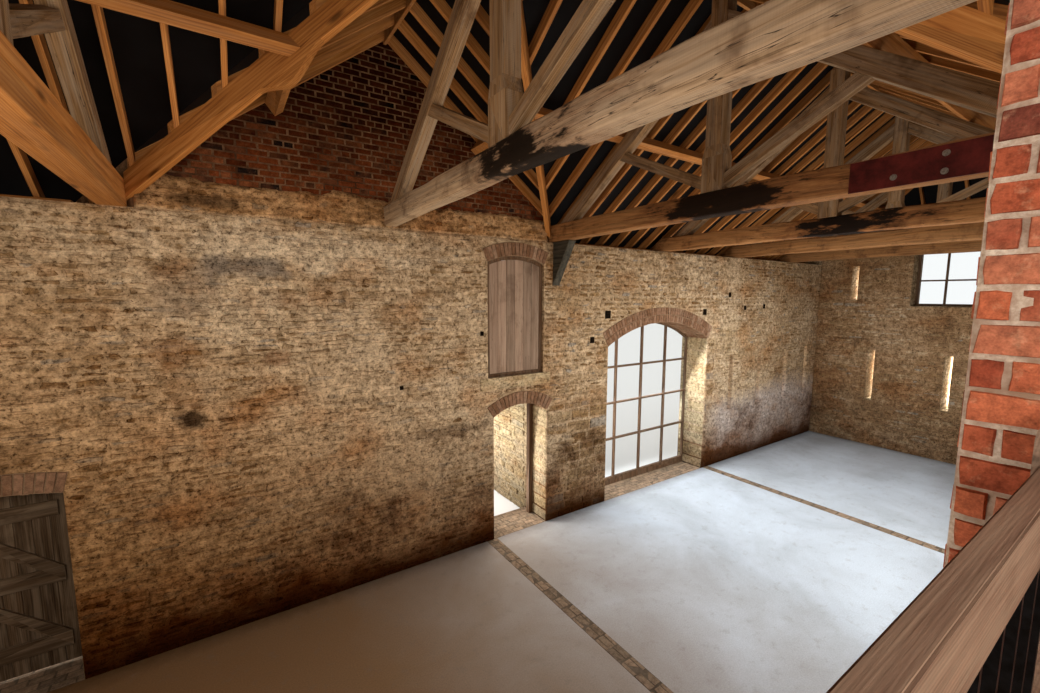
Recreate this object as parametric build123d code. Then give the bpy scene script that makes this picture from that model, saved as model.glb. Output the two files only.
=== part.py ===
from build123d import *
from math import asin, atan, atan2, cos, radians, sin, sqrt, tan
import os

# A long stone barn with a brick cross gable, king post trusses and a gallery in its south wing.
# Millimetres. x runs along the barn to the east, y across it to the north, z up from the ground.
# While the pieces are made the ridge of the main range is at y = 0 and the cross gable is centred
# on x = 0. Saving moves them along y, so that the origin is under the middle of the whole plan.

# Main range
inner_length = 26100
inner_width = 6100
wall_thickness = 700
wall_height = 5220
floor_top = 100
main_pitch = 35.5
eaves_overhang = 180
verge_overhang = 60

# Roof build-up: rafters and covering by their upright heights, the rest square to the slope
rafter_rise = 160
rafter_width = 50
rafter_spacing = 420
covering_rise = 95
purlin_depth = 165
purlin_width = 110
ridge_board_width = 40
ridge_board_depth = 200
ridge_tile_radius = 130
ridge_tile_sink = 70
ridge_tile_gap = 10

# Wall plates
plate_width = 130
plate_height = 75
plate_inset = 200
plate_seat = 100

# Cross gable and wing
gable_inner_width = 5520
cross_ridge_drop = 58
gable_setback = 30
wing_length = 3000
wing_wall_thickness = 550
end_rafter_gap = 5

# Half hips at both ends
hip_rise = 1526
hip_pitch = 50.5
hip_seat = 400
hip_rafter_width = 60
hip_rafter_rise = 220

# Trusses: distances of their middles from the cross gable's centre line
truss_offsets = [2940, 5950, 8600, 11350]
tie_depth = 285
tie_width = 240
king_width = 200
king_depth = 180
king_foot_width = 270
king_foot_height = 420
king_taper = 120
principal_depth = 190
principal_width = 150
strut_depth = 130
strut_width = 110
strut_pitch = 26
strut_foot = 60
steel_plate_thickness = 12
steel_plate_start = 1440
steel_plate_height = 265
steel_plate_gap = 60
knee_reach = 450
knee_drop = 760
knee_width = 150

# Valley timbers
valley_width = 75
valley_depth = 240
valley_belly = 150
valley_groove = 60
smallest_offcut = 1e6

# Openings of the north wall: distances of the west jambs from the cross gable's centre line
door_west_jamb = -4690
door_width = 1150
door_spring = 2240
door_rise = 70
doorway_west_jamb = 1650
doorway_width = 1120
doorway_spring = 2250
doorway_rise = 170
loft_west_jamb = 1550
loft_width = 1130
loft_sill_gap = 85
loft_drop = 390
loft_rise = 120
cart_west_jamb = 4270
cart_width = 3250
cart_spring = 3290
cart_rise = 440
brick_ring = 225
cart_ring = 320
sill_height = 200
sill_overlap = 150
sill_projection = 15

# Ventilation slits of the long walls
slit_offsets = [8570, 9880, 11250, 12440]
slit_bottom = 1400
slit_height = 1400
slit_inner_width = 170
slit_outer_width = 90

# End walls
end_slit_offsets = [-1620, 0, 1620]
upper_slit_offset = 2160
upper_slit_drop = 90
upper_slit_height = 950
window_width = 1760
window_drop = 640
window_height = 1550
window_rise = 120

# Wing's end wall
wing_window_height = 1030

# Gallery and pier
pier_width = 1580
pier_setback = 20
gallery_floor_top = 2900
gallery_board = 30
gallery_joist_depth = 175
gallery_joist_width = 60
gallery_joist_count = 13
gallery_beam_width = 150
gallery_beam_depth = 250
gallery_edge_setback = 105
rail_height = 1100
rail_width = 90
rail_depth = 55
rail_setback = 120
newel_width = 60
newel_depth = 110
newel_rise = 100
baluster_width = 40
baluster_thickness = 12
baluster_spacing = 110

# Plank door, hung on its east side and opening outwards
door_recess = 380
frame_width = 75
frame_depth = 110
leaf_gap = 8
leaf_bottom_gap = 30
board_thickness = 25
ledge_thickness = 30
ledge_height = 170
ledge_levels = [330, 1110, 1880]
ledge_end_margin = 60
brace_width = 180
strap_thickness = 6
strap_height = 45
strap_length = 800
pin_radius = 8
knuckle_radius = 16
pin_gap = 0.5
pin_overhang = 12
pin_arm_height = 12
hinge_clearance = 5
pin_plate_width = 40
pin_plate_margin = 30

# Other joinery
screen_recess = 540
screen_bar = 40
screen_depth = 60
screen_bays = 4
screen_rows = [1140, 1950, 2750]
screen_rail = 160
glass_thickness = 10
glass_margin = 5
post_size = 90
post_recess = 430
loft_recess = 50
loft_board = 30
loft_frame = 60
loft_frame_depth = 80
window_bar = 60
window_bars = 40
window_frame_depth = 70
window_recess = 350
window_bays = 3
window_rows = [660]

# Brick strips across the floor, and the wall that runs out beside the doorway
strip_width = 200
strip_offsets = [1610, 7680]
yard_wall_length = 2000
yard_wall_height = 2200
yard_wall_thickness = 450

# Worked out from the sizes above
half_length = inner_length / 2
half_width = inner_width / 2
outer_x = half_length + wall_thickness
outer_y = half_width + wall_thickness
gable_x = gable_inner_width / 2
gable_y = half_width + gable_setback
wing_x = gable_x + wing_wall_thickness
wing_y = outer_y + wing_length
wing_inner_y = wing_y - wing_wall_thickness
main_slope = tan(radians(main_pitch))
hip_slope = tan(radians(hip_pitch))
plate_top = wall_height + plate_height
plate_outer_y = outer_y - plate_inset
plate_inner_y = plate_outer_y - plate_width
main_peak = plate_top + (plate_outer_y - plate_seat) * main_slope
cross_peak = main_peak - cross_ridge_drop
cross_slope = (half_width * main_slope - cross_ridge_drop) / gable_x
hip_wall_height = main_peak - hip_rise
loft_spring = wall_height - loft_drop
loft_sill_top = doorway_spring + doorway_rise + brick_ring + loft_sill_gap + sill_height
wing_window_bottom = loft_spring - wing_window_height
upper_slit_bottom = wall_height - upper_slit_drop - upper_slit_height
window_bottom = hip_wall_height - window_drop - window_height
plate_outer_x = (cross_peak - plate_top) / cross_slope + plate_seat
hip_seat_x = half_length + hip_seat
eaves_y = outer_y + eaves_overhang
verge_x = outer_x + verge_overhang
verge_y = wing_y + verge_overhang
north_verge_y = outer_y + verge_overhang
covering_top = rafter_rise + covering_rise
tie_top = wall_height + tie_depth
door_east_jamb = door_west_jamb + door_width
doorway_east_jamb = doorway_west_jamb + doorway_width
cart_east_jamb = cart_west_jamb + cart_width
door_face_y = half_width + door_recess + ledge_thickness + board_thickness
hinge_x = door_east_jamb - frame_width - leaf_gap / 2
hinge_y = door_face_y + knuckle_radius + 1
pier_half = pier_width / 2
pier_north_y = -half_width - pier_setback
gallery_edge_y = pier_north_y - gallery_edge_setback
gallery_joist_top = gallery_floor_top - gallery_board
rail_north_y = pier_north_y - rail_setback
yard_wall_end_y = outer_y + yard_wall_length
plan_shift = (verge_y - yard_wall_end_y) / 2
oak_places = [-x for x in truss_offsets[1:]] + [0] + truss_offsets
pine_place = -truss_offsets[0]
all_places = oak_places + [pine_place]
sky = 2 * main_peak
reach = 1.5 * outer_x


# Shapes
def box(x0, x1, y0, y1, z0, z1):
    return Pos((x0 + x1) / 2, (y0 + y1) / 2, (z0 + z1) / 2) * Box(x1 - x0, y1 - y0, z1 - z0)


def along_x(face, x0, x1):
    """A solid made from a (y, z) face, from x0 to x1."""
    return extrude(Plane.YZ.offset(x0) * face, amount=x1 - x0)


def along_y(face, y0, y1):
    """A solid made from an (x, z) face, from y0 to y1."""
    return extrude(Plane.XZ.offset(-y0) * face, amount=y0 - y1)


def outline(points):
    return make_face(Polyline(*points, close=True))


def upright(points, z0, z1):
    """A solid whose (x, y) outline stands from z0 to z1."""
    return extrude(Plane.XY.offset(z0) * outline(points), amount=z1 - z0)


def solids_of(*pieces):
    found = []
    for piece in pieces:
        found.extend(piece.solids())
    return found


def group(pieces):
    return Compound(solids_of(*pieces))


def cut(piece, tools):
    for tool in tools:
        piece = piece - tool
    return group([piece])


def keep(piece, tools):
    for tool in tools:
        piece = piece & tool
    return group([piece])


def south_of(*pieces):
    """The same pieces on the south side."""
    return group([solid.mirror(Plane.XZ) for solid in solids_of(*pieces)])


def west_of(*pieces):
    """The same pieces on the west side."""
    return group([solid.mirror(Plane.YZ) for solid in solids_of(*pieces)])


def both_sides(*pieces):
    return group([group(pieces), south_of(*pieces)])


def both_ends(*pieces):
    return group([group(pieces), west_of(*pieces)])


def four_ways(*pieces):
    return both_ends(both_sides(*pieces))


def fused(first, second):
    return group([first.solids()[0] + second.solids()[0]])


# Arches
def arch_face(start, width, bottom, spring, rise):
    """The outline of an opening with a segmental head."""
    end = start + width
    sides = Polyline((start, spring), (start, bottom), (end, bottom), (end, spring))
    head = ThreePointArc((end, spring), (start + width / 2, spring + rise), (start, spring))
    return make_face([*sides.edges(), head])


def arch_radius(width, rise):
    return (width * width / 4 + rise * rise) / (2 * rise)


def inner_arch_face(start, width, bottom, spring, rise, margin):
    """An opening's outline drawn in by a margin at the sides and the head."""
    radius = arch_radius(width, rise)
    centre = spring + rise - radius
    half = width / 2 - margin
    inner_spring = centre + sqrt((radius - margin) ** 2 - half * half)
    inner_rise = centre + radius - margin - inner_spring
    return arch_face(start + margin, 2 * half, bottom, inner_spring, inner_rise)


def ring_face(start, width, spring, rise, depth):
    """A brick ring over a segmental head, with ends square to its curve."""
    radius = arch_radius(width, rise)
    middle = start + width / 2
    centre = spring + rise - radius
    half_angle = asin(width / 2 / radius)

    def point(distance, angle):
        return (middle + distance * sin(angle), centre + distance * cos(angle))

    far = radius + depth
    soffit = ThreePointArc(point(radius, -half_angle), point(radius, 0), point(radius, half_angle))
    back = ThreePointArc(point(far, half_angle), point(far, 0), point(far, -half_angle))
    east_end = Line(point(radius, half_angle), point(far, half_angle))
    west_end = Line(point(far, -half_angle), point(radius, -half_angle))
    return make_face([soffit, east_end, back, west_end])


door_head = (door_west_jamb, door_width, door_spring, door_rise)
doorway_head = (doorway_west_jamb, doorway_width, doorway_spring, doorway_rise)
loft_head = (loft_west_jamb, loft_width, loft_spring, loft_rise)
cart_head = (cart_west_jamb, cart_width, cart_spring, cart_rise)
window_head = (-window_width / 2, window_width, window_bottom + window_height, window_rise)
wing_door_head = (-doorway_width / 2, doorway_width, doorway_spring, doorway_rise)
wing_window_head = (-loft_width / 2, loft_width, loft_spring, loft_rise)


def opening(head, bottom):
    start, width, spring, rise = head
    return arch_face(start, width, bottom, spring, rise)


def inner_opening(head, bottom, margin):
    start, width, spring, rise = head
    return inner_arch_face(start, width, bottom, spring, rise, margin)


# Roof planes: heights of the rafters' undersides, raised by lift
def main_z(y, lift=0):
    return main_peak + lift - abs(y) * main_slope


def cross_z(x, lift=0):
    return cross_peak + lift - abs(x) * cross_slope


def hip_z(x, lift=0):
    return hip_wall_height + lift + (hip_seat_x - abs(x)) * hip_slope


def valley_x(y):
    return (cross_peak - main_peak + y * main_slope) / cross_slope


def valley_y(x):
    return (main_peak - cross_peak + x * cross_slope) / main_slope


def hip_x(y):
    """The north-east hip's line in plan."""
    return hip_seat_x - (main_peak - y * main_slope - hip_wall_height) / hip_slope


cross_eaves_x = valley_x(eaves_y)
hip_apex_x = hip_x(0)
hip_end_y = (main_peak - hip_z(verge_x)) / main_slope
valley_turn = atan2(main_slope, cross_slope)
hip_turn = atan2(main_slope, hip_slope)


def ridge_prism(z, lift, extrude_along):
    """Everything under a pair of slopes."""
    face = outline([(-reach, -reach), (reach, -reach), (reach, z(reach, lift)), (0, z(0, lift)),
                    (-reach, z(reach, lift))])
    return extrude_along(face, -reach, reach)


def under_main(lift=0):
    return ridge_prism(main_z, lift, along_x)


def under_cross(lift=0):
    return ridge_prism(cross_z, lift, along_y)


def under_hips(lift=0):
    return ridge_prism(hip_z, lift, along_y)


def beside_line(line_x, shift, far_x):
    """The upright space on one side of a line in plan."""
    return upright([(line_x(-reach) + shift, -reach), (far_x, -reach), (far_x, reach),
                    (line_x(reach) + shift, reach)], -sky, sky)


def east_of_valley(margin=0):
    return beside_line(valley_x, margin / cos(valley_turn), 3 * reach)


def west_of_valley(margin=0):
    return beside_line(valley_x, -margin / cos(valley_turn), -3 * reach)


def west_of_hip(margin=0):
    return beside_line(hip_x, -margin / cos(hip_turn), -3 * reach)


def east_of_hip(margin=0):
    return beside_line(hip_x, margin / cos(hip_turn), 3 * reach)


# Stone walls
def north_block(x0, x1, z0=0):
    return box(x0, x1, half_width, outer_y, z0, wall_height)


def slit(x):
    """A slit through a long wall, wider on the inside."""
    a = slit_inner_width / 2
    b = slit_outer_width / 2
    return upright([(x - a, half_width), (x + a, half_width), (x + b, outer_y), (x - b, outer_y)],
                   slit_bottom, slit_bottom + slit_height)


def end_slit(y, bottom, height):
    """A slit through the east wall."""
    a = slit_inner_width / 2
    b = slit_outer_width / 2
    return upright([(half_length, y - a), (half_length, y + a), (outer_x, y + b), (outer_x, y - b)],
                   bottom, bottom + height)


def through_north(face):
    return along_y(face, half_width, outer_y)


def through_east(face):
    return along_x(face, half_length, outer_x)


def through_wing_end(face):
    return along_y(face, -wing_y, -wing_inner_y)


door_void = through_north(opening(door_head, 0))
door_arch = through_north(ring_face(*door_head, brick_ring))
doorway_void = through_north(opening(doorway_head, 0))
doorway_arch = through_north(ring_face(*doorway_head, brick_ring))
loft_void = through_north(opening(loft_head, loft_sill_top))
loft_arch = through_north(ring_face(*loft_head, brick_ring))
cart_void = through_north(opening(cart_head, 0))
cart_arch = through_north(ring_face(*cart_head, cart_ring))
window_void = through_east(opening(window_head, window_bottom))
window_arch = through_east(ring_face(*window_head, brick_ring)) & under_hips()
wing_door_void = through_wing_end(opening(wing_door_head, 0))
wing_door_arch = through_wing_end(ring_face(*wing_door_head, brick_ring))
wing_window_void = through_wing_end(opening(wing_window_head, wing_window_bottom))
wing_window_arch = through_wing_end(ring_face(*wing_window_head, brick_ring))
loft_sill = box(loft_west_jamb - sill_overlap, loft_west_jamb + loft_width + sill_overlap,
                half_width - sill_projection, outer_y, loft_sill_top - sill_height, loft_sill_top)


def gable_ground():
    """The stone wall under the north gable, between the two valleys."""
    plan = [(0, valley_y(0)), (valley_x(outer_y), outer_y), (-valley_x(outer_y), outer_y)]
    return upright(plan, 0, wall_height)


def long_walls():
    """The walls beside their openings, and the pieces over the openings as a node of their own."""
    eaves = under_main() + gable_ground()
    west_slits = [slit(-offset) for offset in slit_offsets]
    east_slits = [slit(offset) for offset in slit_offsets]
    loft = [loft_sill, loft_void, loft_arch]
    east_end = cut(north_block(cart_east_jamb, half_length), [cart_arch] + east_slits)
    over_cart = cut(north_block(cart_west_jamb, cart_east_jamb, cart_spring), [cart_void, cart_arch])
    over_door = cut(north_block(door_west_jamb, door_east_jamb, door_spring), [door_void, door_arch])
    over_doorway = cut(north_block(doorway_west_jamb, doorway_east_jamb, doorway_spring),
                       [doorway_void, doorway_arch] + loft)
    north = [
        cut(north_block(-half_length, door_west_jamb), [door_arch] + west_slits),
        cut(north_block(door_east_jamb, doorway_west_jamb), [door_arch, doorway_arch] + loft),
        cut(north_block(doorway_east_jamb, cart_west_jamb), [doorway_arch, cart_arch] + loft),
        east_end,
    ]
    south = south_of(
        cut(north_block(-half_length, -wing_x), west_slits),
        cut(north_block(wing_x, cart_west_jamb), [cart_arch]),
        east_end,
    )
    over = [over_door, over_doorway, over_cart, south_of(over_cart), over_wing_door()]
    return {
        "north_wall": keep(group(north), [eaves]),
        "south_wall": keep(south, [eaves]),
        "walls_over_openings": keep(group(over), [eaves + box(-wing_x, wing_x, -wing_y, 0, 0, sky)]),
    }


def over_wing_door():
    jamb = doorway_width / 2
    wall = box(-jamb, jamb, -wing_y, -wing_inner_y, doorway_spring, wall_height)
    return cut(wall, [wing_door_void, wing_door_arch, wing_window_void, wing_window_arch])


def wing_walls():
    """The wing's side walls, and its end wall beside the doorway."""
    side = box(gable_x, wing_x, -wing_inner_y, -half_width, 0, wall_height)
    end = box(doorway_width / 2, wing_x, -wing_y, -wing_inner_y, 0, wall_height)
    voids = [wing_door_arch, wing_window_void, wing_window_arch]
    return {
        "wing_side_walls": both_ends(keep(side, [under_cross()])),
        "wing_end_wall": both_ends(keep(cut(end, voids), [under_cross()])),
    }


def above_hip():
    """The space over the east half hip's rafters' undersides."""
    north = box(0, 2 * outer_x, 0, outer_y, 0, sky) & east_of_hip()
    whole = group([north, south_of(north)])
    return cut(whole, [under_hips()])


def end_walls(timbers):
    """The two end walls, up to the half hips, with their windows and slits."""
    wall = box(half_length, outer_x, -outer_y, outer_y, 0, hip_wall_height)
    voids = timbers + [above_hip(), window_void, window_arch]
    for y in end_slit_offsets:
        voids.append(end_slit(y, slit_bottom, slit_height))
    for y in (-upper_slit_offset, upper_slit_offset):
        voids.append(end_slit(y, upper_slit_bottom, upper_slit_height))
    return both_ends(cut(keep(wall, [under_main(rafter_rise)]), voids))


def gable_bricks(y0, y1):
    """A brick gable on a stone wall, up to the underside of the cross roof's covering."""
    top = cross_peak + rafter_rise
    foot_x = (top - wall_height) / cross_slope
    wall = along_y(outline([(-foot_x, wall_height), (foot_x, wall_height), (0, top)]), y0, y1)
    return wall & box(-wing_x, wing_x, -reach, reach, 0, sky)


def brick_gables(timbers):
    """The north gable, pocketed for the timbers that bear on it, and the wing's gable."""
    plan = [(0, valley_y(0)), (valley_x(outer_y), outer_y), (-valley_x(outer_y), outer_y)]
    north = gable_bricks(gable_y, outer_y) & upright(plan, 0, sky)
    return group([cut(north, timbers), gable_bricks(-wing_y, -wing_inner_y)])


def brick_pier():
    """The brick pier that carries the middle truss at the gallery's edge."""
    return box(-pier_half, pier_half, -outer_y, pier_north_y, 0, wall_height)


def yard_wall():
    x0 = doorway_east_jamb
    return box(x0, x0 + yard_wall_thickness, outer_y, yard_wall_end_y, 0, yard_wall_height)


def brick_arches():
    """The brick rings over every opening."""
    single = [door_arch, doorway_arch, loft_arch, wing_door_arch, wing_window_arch]
    return group(single + [both_sides(cart_arch), both_ends(window_arch)])


# Floors
def floors():
    """Slabs between the brick strips, a slab in the wing, and brick thresholds in the openings."""
    edges = [-half_length]
    strips = []
    for x in strip_offsets:
        edges += [x - strip_width / 2, x + strip_width / 2]
        strips.append(box(x - strip_width / 2, x + strip_width / 2, -half_width, half_width, 0,
                          floor_top))
    edges.append(half_length)
    slabs = [box(x0, x1, -half_width, half_width, 0, floor_top)
             for x0, x1 in zip(edges[0::2], edges[1::2])]
    wing = box(-gable_x, gable_x, -wing_inner_y, -half_width, 0, floor_top)
    jamb = doorway_width / 2
    thresholds = [
        box(door_west_jamb, door_east_jamb, half_width, outer_y, 0, floor_top),
        box(doorway_west_jamb, doorway_east_jamb, half_width, outer_y, 0, floor_top),
        box(cart_west_jamb, cart_east_jamb, half_width, outer_y, 0, floor_top),
        box(cart_west_jamb, cart_east_jamb, -outer_y, -half_width, 0, floor_top),
        box(-jamb, jamb, -wing_y, -wing_inner_y, 0, floor_top),
    ]
    pier = brick_pier()
    return {
        "floor_slabs": cut(group(slabs), [pier]),
        "floor_brick_strips": cut(group(strips), [pier]),
        "wing_floor": cut(wing, [pier]),
        "thresholds": group(thresholds),
    }


# Gallery
def gallery():
    """Front beams between the pier and the wing's walls, joists, boards and railings."""
    beam_back = gallery_edge_y - gallery_beam_width
    beam_bottom = gallery_joist_top - gallery_beam_depth
    beam = box(pier_half, gable_x, beam_back, gallery_edge_y, beam_bottom, gallery_joist_top)
    pier = brick_pier()
    joists = []
    first = -gable_x + gallery_joist_width / 2
    pitch = (2 * gable_x - gallery_joist_width) / (gallery_joist_count - 1)
    for index in range(gallery_joist_count):
        x = first + index * pitch
        joists.append(box(x - gallery_joist_width / 2, x + gallery_joist_width / 2, -wing_inner_y,
                          beam_back, gallery_joist_top - gallery_joist_depth, gallery_joist_top))
    boards = box(-gable_x, gable_x, -wing_inner_y, gallery_edge_y, gallery_joist_top,
                 gallery_floor_top)
    return {
        "gallery_beams": both_ends(beam),
        "gallery_joists": cut(group(joists), [pier]),
        "gallery_boards": cut(boards, [pier]),
        "gallery_handrails": both_ends(handrail()),
        "gallery_balusters": both_ends(balusters()),
    }


def handrail():
    """The east handrail with its round-topped block against the pier."""
    rail_top = gallery_floor_top + rail_height
    block_x = pier_half + newel_width
    rail = box(block_x, gable_x, rail_north_y - rail_width, rail_north_y, rail_top - rail_depth,
               rail_top)
    block_top = rail_top + newel_rise
    round_radius = newel_depth / 2
    middle_y = rail_north_y - rail_width / 2
    block = box(pier_half, block_x, middle_y - round_radius, middle_y + round_radius,
                gallery_floor_top, block_top - round_radius)
    head = Pos((pier_half + block_x) / 2, middle_y, block_top - round_radius)
    head = head * Rot(0, 90, 0) * Cylinder(round_radius, newel_width)
    return rail + block + head


def balusters():
    """Flat upright bars under the east handrail."""
    rail_bottom = gallery_floor_top + rail_height - rail_depth
    middle_y = rail_north_y - rail_width / 2
    start = pier_half + newel_width
    count = int((gable_x - start) // baluster_spacing)
    margin = (gable_x - start - (count - 1) * baluster_spacing) / 2
    bars = []
    for index in range(count):
        x = start + margin + index * baluster_spacing
        bars.append(box(x - baluster_thickness / 2, x + baluster_thickness / 2,
                        middle_y - baluster_width / 2, middle_y + baluster_width / 2,
                        gallery_floor_top, rail_bottom))
    return group(bars)


# Roof timbers
def wall_plates():
    """Plates on the wall heads, stopped at the cross gable."""
    north = box(wing_x, half_length, plate_inner_y, plate_outer_y, wall_height, plate_top)
    wing = box(plate_outer_x - plate_width, plate_outer_x, -wing_inner_y, -plate_outer_y,
               wall_height, plate_top)
    return group([four_ways(north), both_ends(wing)])


def tie_beam(x):
    beam = box(x - tie_width / 2, x + tie_width / 2, -plate_inner_y, plate_inner_y, wall_height,
               tie_top)
    return beam & under_main()


ridge_board_bottom = main_z(ridge_board_width / 2, rafter_rise) - ridge_board_depth
principal_drop = purlin_depth / cos(radians(main_pitch))
principal_rise = principal_depth / cos(radians(main_pitch))


def king_post(x):
    """A post with a wider foot, from the tie beam up to the ridge board."""
    w = king_width / 2
    f = king_foot_width / 2
    foot_top = tie_top + king_foot_height
    neck = foot_top + king_taper
    face = outline([(-f, tie_top), (f, tie_top), (f, foot_top), (w, neck), (w, ridge_board_bottom),
                    (-w, ridge_board_bottom), (-w, neck), (-f, foot_top)])
    return along_x(face, x - king_depth / 2, x + king_depth / 2) & under_main()


def principal(x):
    """The north principal rafter, from the tie beam's top to the king post's side."""
    inner = king_width / 2
    top_y = (main_peak - principal_drop - tie_top) / main_slope
    low_y = top_y - principal_rise / main_slope
    face = outline([(inner, main_z(inner, -principal_drop)),
                    (inner, main_z(inner, -principal_drop - principal_rise)),
                    (low_y, tie_top), (top_y, tie_top)])
    return along_x(face, x - principal_width / 2, x + principal_width / 2)


def strut(x):
    """The north strut, from the king post's foot up to the underside of the principal."""
    slope = tan(radians(strut_pitch))
    foot_y = king_foot_width / 2
    low_z = tie_top + strut_foot
    high_z = low_z + strut_depth / cos(radians(strut_pitch))
    under = main_z(0, -principal_drop - principal_rise)

    def end(foot_z):
        y = (under - foot_z + foot_y * slope) / (main_slope + slope)
        return (y, foot_z + (y - foot_y) * slope)

    face = outline([(foot_y, low_z), end(low_z), end(high_z), (foot_y, high_z)])
    return along_x(face, x - strut_width / 2, x + strut_width / 2)


def knee_bracket():
    """The bracket under the north end of the truss east of the gable."""
    x = truss_offsets[0]
    face = outline([(half_width, wall_height), (half_width, wall_height - knee_drop),
                    (half_width - knee_reach, wall_height)])
    return along_x(face, x - knee_width / 2, x + knee_width / 2)


def steel_plate():
    """The steel plate that strengthens that truss's tie beam at its south end."""
    x1 = truss_offsets[0] - tie_width / 2
    bottom = wall_height + (tie_depth - steel_plate_height) / 2
    return box(x1 - steel_plate_thickness, x1, -half_width + steel_plate_gap, -steel_plate_start,
               bottom, bottom + steel_plate_height)


def ridge_boards(kings):
    """The main ridge board and the two of the cross roof that meet it."""
    half = ridge_board_width / 2
    top = ridge_board_bottom + ridge_board_depth
    end_x = hip_apex_x + hip_rafter_width
    main = keep(box(-end_x, end_x, -half, half, ridge_board_bottom, top), [under_hips(rafter_rise)])
    cross_top = cross_z(half, rafter_rise)
    cross = box(-half, half, -wing_inner_y, gable_y, cross_top - ridge_board_depth, cross_top)
    cross = cut(cross, [kings])
    return group([main.solids()[0].fuse(*cross.solids())])


def purlin_face(distance, peak, slope):
    """A purlin's outline, with its upper corner under the rafters at a distance from the ridge."""
    pitch = atan(slope)
    z = peak - distance * slope
    wide = (cos(pitch) * purlin_width, -sin(pitch) * purlin_width)
    deep = (-sin(pitch) * purlin_depth, -cos(pitch) * purlin_depth)
    return outline([(distance, z), (distance + wide[0], z + wide[1]),
                    (distance + wide[0] + deep[0], z + wide[1] + deep[1]),
                    (distance + deep[0], z + deep[1])])


def purlins():
    """Purlins on the backs of the principals, and those of the cross roof between the valleys."""
    margin = valley_width / 2
    main = along_x(purlin_face(half_width / 2, main_peak, main_slope), 0, outer_x)
    main = keep(main, [east_of_valley(margin), west_of_hip(hip_rafter_width / 2), under_hips()])
    face = purlin_face(gable_x / 2, cross_peak, cross_slope)
    north = keep(along_y(face, 0, gable_y), [west_of_valley(margin)])
    south = keep(along_y(face, 0, wing_inner_y), [west_of_valley(margin)])
    return group([four_ways(main), both_ends(north), both_ends(south_of(south))])


def valley_beam():
    """The timber under the north-east valley, with an ogee belly at its middle."""
    head_y = valley_y(0)
    run = (gable_y + wall_thickness / 2 - head_y) / cos(valley_turn)
    fall = main_slope * cos(valley_turn)

    def under(distance, depth):
        return (distance, main_z(head_y) - distance * fall - depth)

    middle = (half_width - head_y) / cos(valley_turn) / 2
    reach_in = middle - valley_depth * 1.5
    reach_out = middle + valley_depth * 1.5
    plane = Plane(origin=(0, head_y, 0), x_dir=(sin(valley_turn), cos(valley_turn), 0),
                  z_dir=(cos(valley_turn), -sin(valley_turn), 0))
    straight = Polyline(under(reach_in, valley_depth), under(0, valley_depth),
                        under(0, -valley_groove), under(run, -valley_groove),
                        under(run, valley_depth), under(reach_out, valley_depth))
    lowest = under(middle, valley_depth + valley_belly)
    outer_curve = Spline(under(reach_out, valley_depth), lowest, tangents=[(-1, fall), (-1, fall)])
    inner_curve = Spline(lowest, under(reach_in, valley_depth), tangents=[(-1, fall), (-1, fall)])
    face = make_face([*straight.edges(), outer_curve, inner_curve])
    return extrude(plane * face, amount=valley_width / 2, both=True)


def valley_beams(members):
    """The four valley timbers, grooved along the valley and fitted round the truss members."""
    end_x = truss_offsets[0] - tie_width / 2
    beam = keep(valley_beam(), [under_main() + under_cross(), box(0, end_x, 0, reach, 0, sky)])
    beams = cut(four_ways(beam), members)
    return group([piece for piece in beams.solids() if piece.volume > smallest_offcut])


def rafter_places():
    """Distances of the main rafters from the cross gable's centre line."""
    count = int((half_length - rafter_width - rafter_spacing / 2) // rafter_spacing) + 1
    return [rafter_spacing / 2 + index * rafter_spacing for index in range(count)]


def slope_face(z, start, end, low, high):
    """A strip of a roof slope seen from its end, between two heights over the rafters' undersides."""
    return outline([(start, z(start, low)), (start, z(start, high)), (end, z(end, high)),
                    (end, z(end, low))])


def main_rafters(plates):
    """Rafters of the main slopes, with jacks over the valleys and at the half hips."""
    face = slope_face(main_z, ridge_board_width / 2, eaves_y, 0, rafter_rise)
    half = rafter_width / 2
    rafters = group([along_x(face, x - half, x + half) for x in rafter_places()])
    rafters = keep(rafters, [east_of_valley(), west_of_hip(hip_rafter_width / 2)])
    return four_ways(cut(rafters, [plates]))


def cross_rafters(plates):
    """Rafters of the cross slopes, parallel to the gables, down to the valleys and the eaves."""
    face = slope_face(cross_z, ridge_board_width / 2, cross_eaves_x, 0, rafter_rise)
    half = rafter_width / 2

    def slope(wall_y):
        y = wall_y - end_rafter_gap - half
        rafters = []
        while valley_x(y) > 2 * rafter_width:
            rafters.append(along_y(face, y - half, y + half))
            y -= rafter_spacing
        return keep(group(rafters), [west_of_valley()])

    north = slope(gable_y)
    south = cut(south_of(slope(wing_inner_y)), [plates])
    return both_ends(north, south)


def hip_rafter():
    """The timber under the north-east hip, its back dressed to both slopes."""
    run = hip_end_y / cos(hip_turn)
    fall = main_slope * cos(hip_turn)
    plane = Plane(origin=(hip_apex_x, 0, 0), x_dir=(sin(hip_turn), cos(hip_turn), 0),
                  z_dir=(cos(hip_turn), -sin(hip_turn), 0))
    top = main_peak + rafter_rise
    face = outline([(-hip_rafter_width, top + hip_rafter_width),
                    (-hip_rafter_width, top + hip_rafter_width - hip_rafter_rise),
                    (run + hip_rafter_width, top - run * fall - hip_rafter_rise),
                    (run + hip_rafter_width, top - run * fall)])
    beam = extrude(plane * face, amount=hip_rafter_width / 2, both=True)
    room = box(0, verge_x, ridge_board_width / 2, reach, 0, sky)
    return keep(beam, [under_main(rafter_rise), under_hips(rafter_rise), room])


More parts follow.
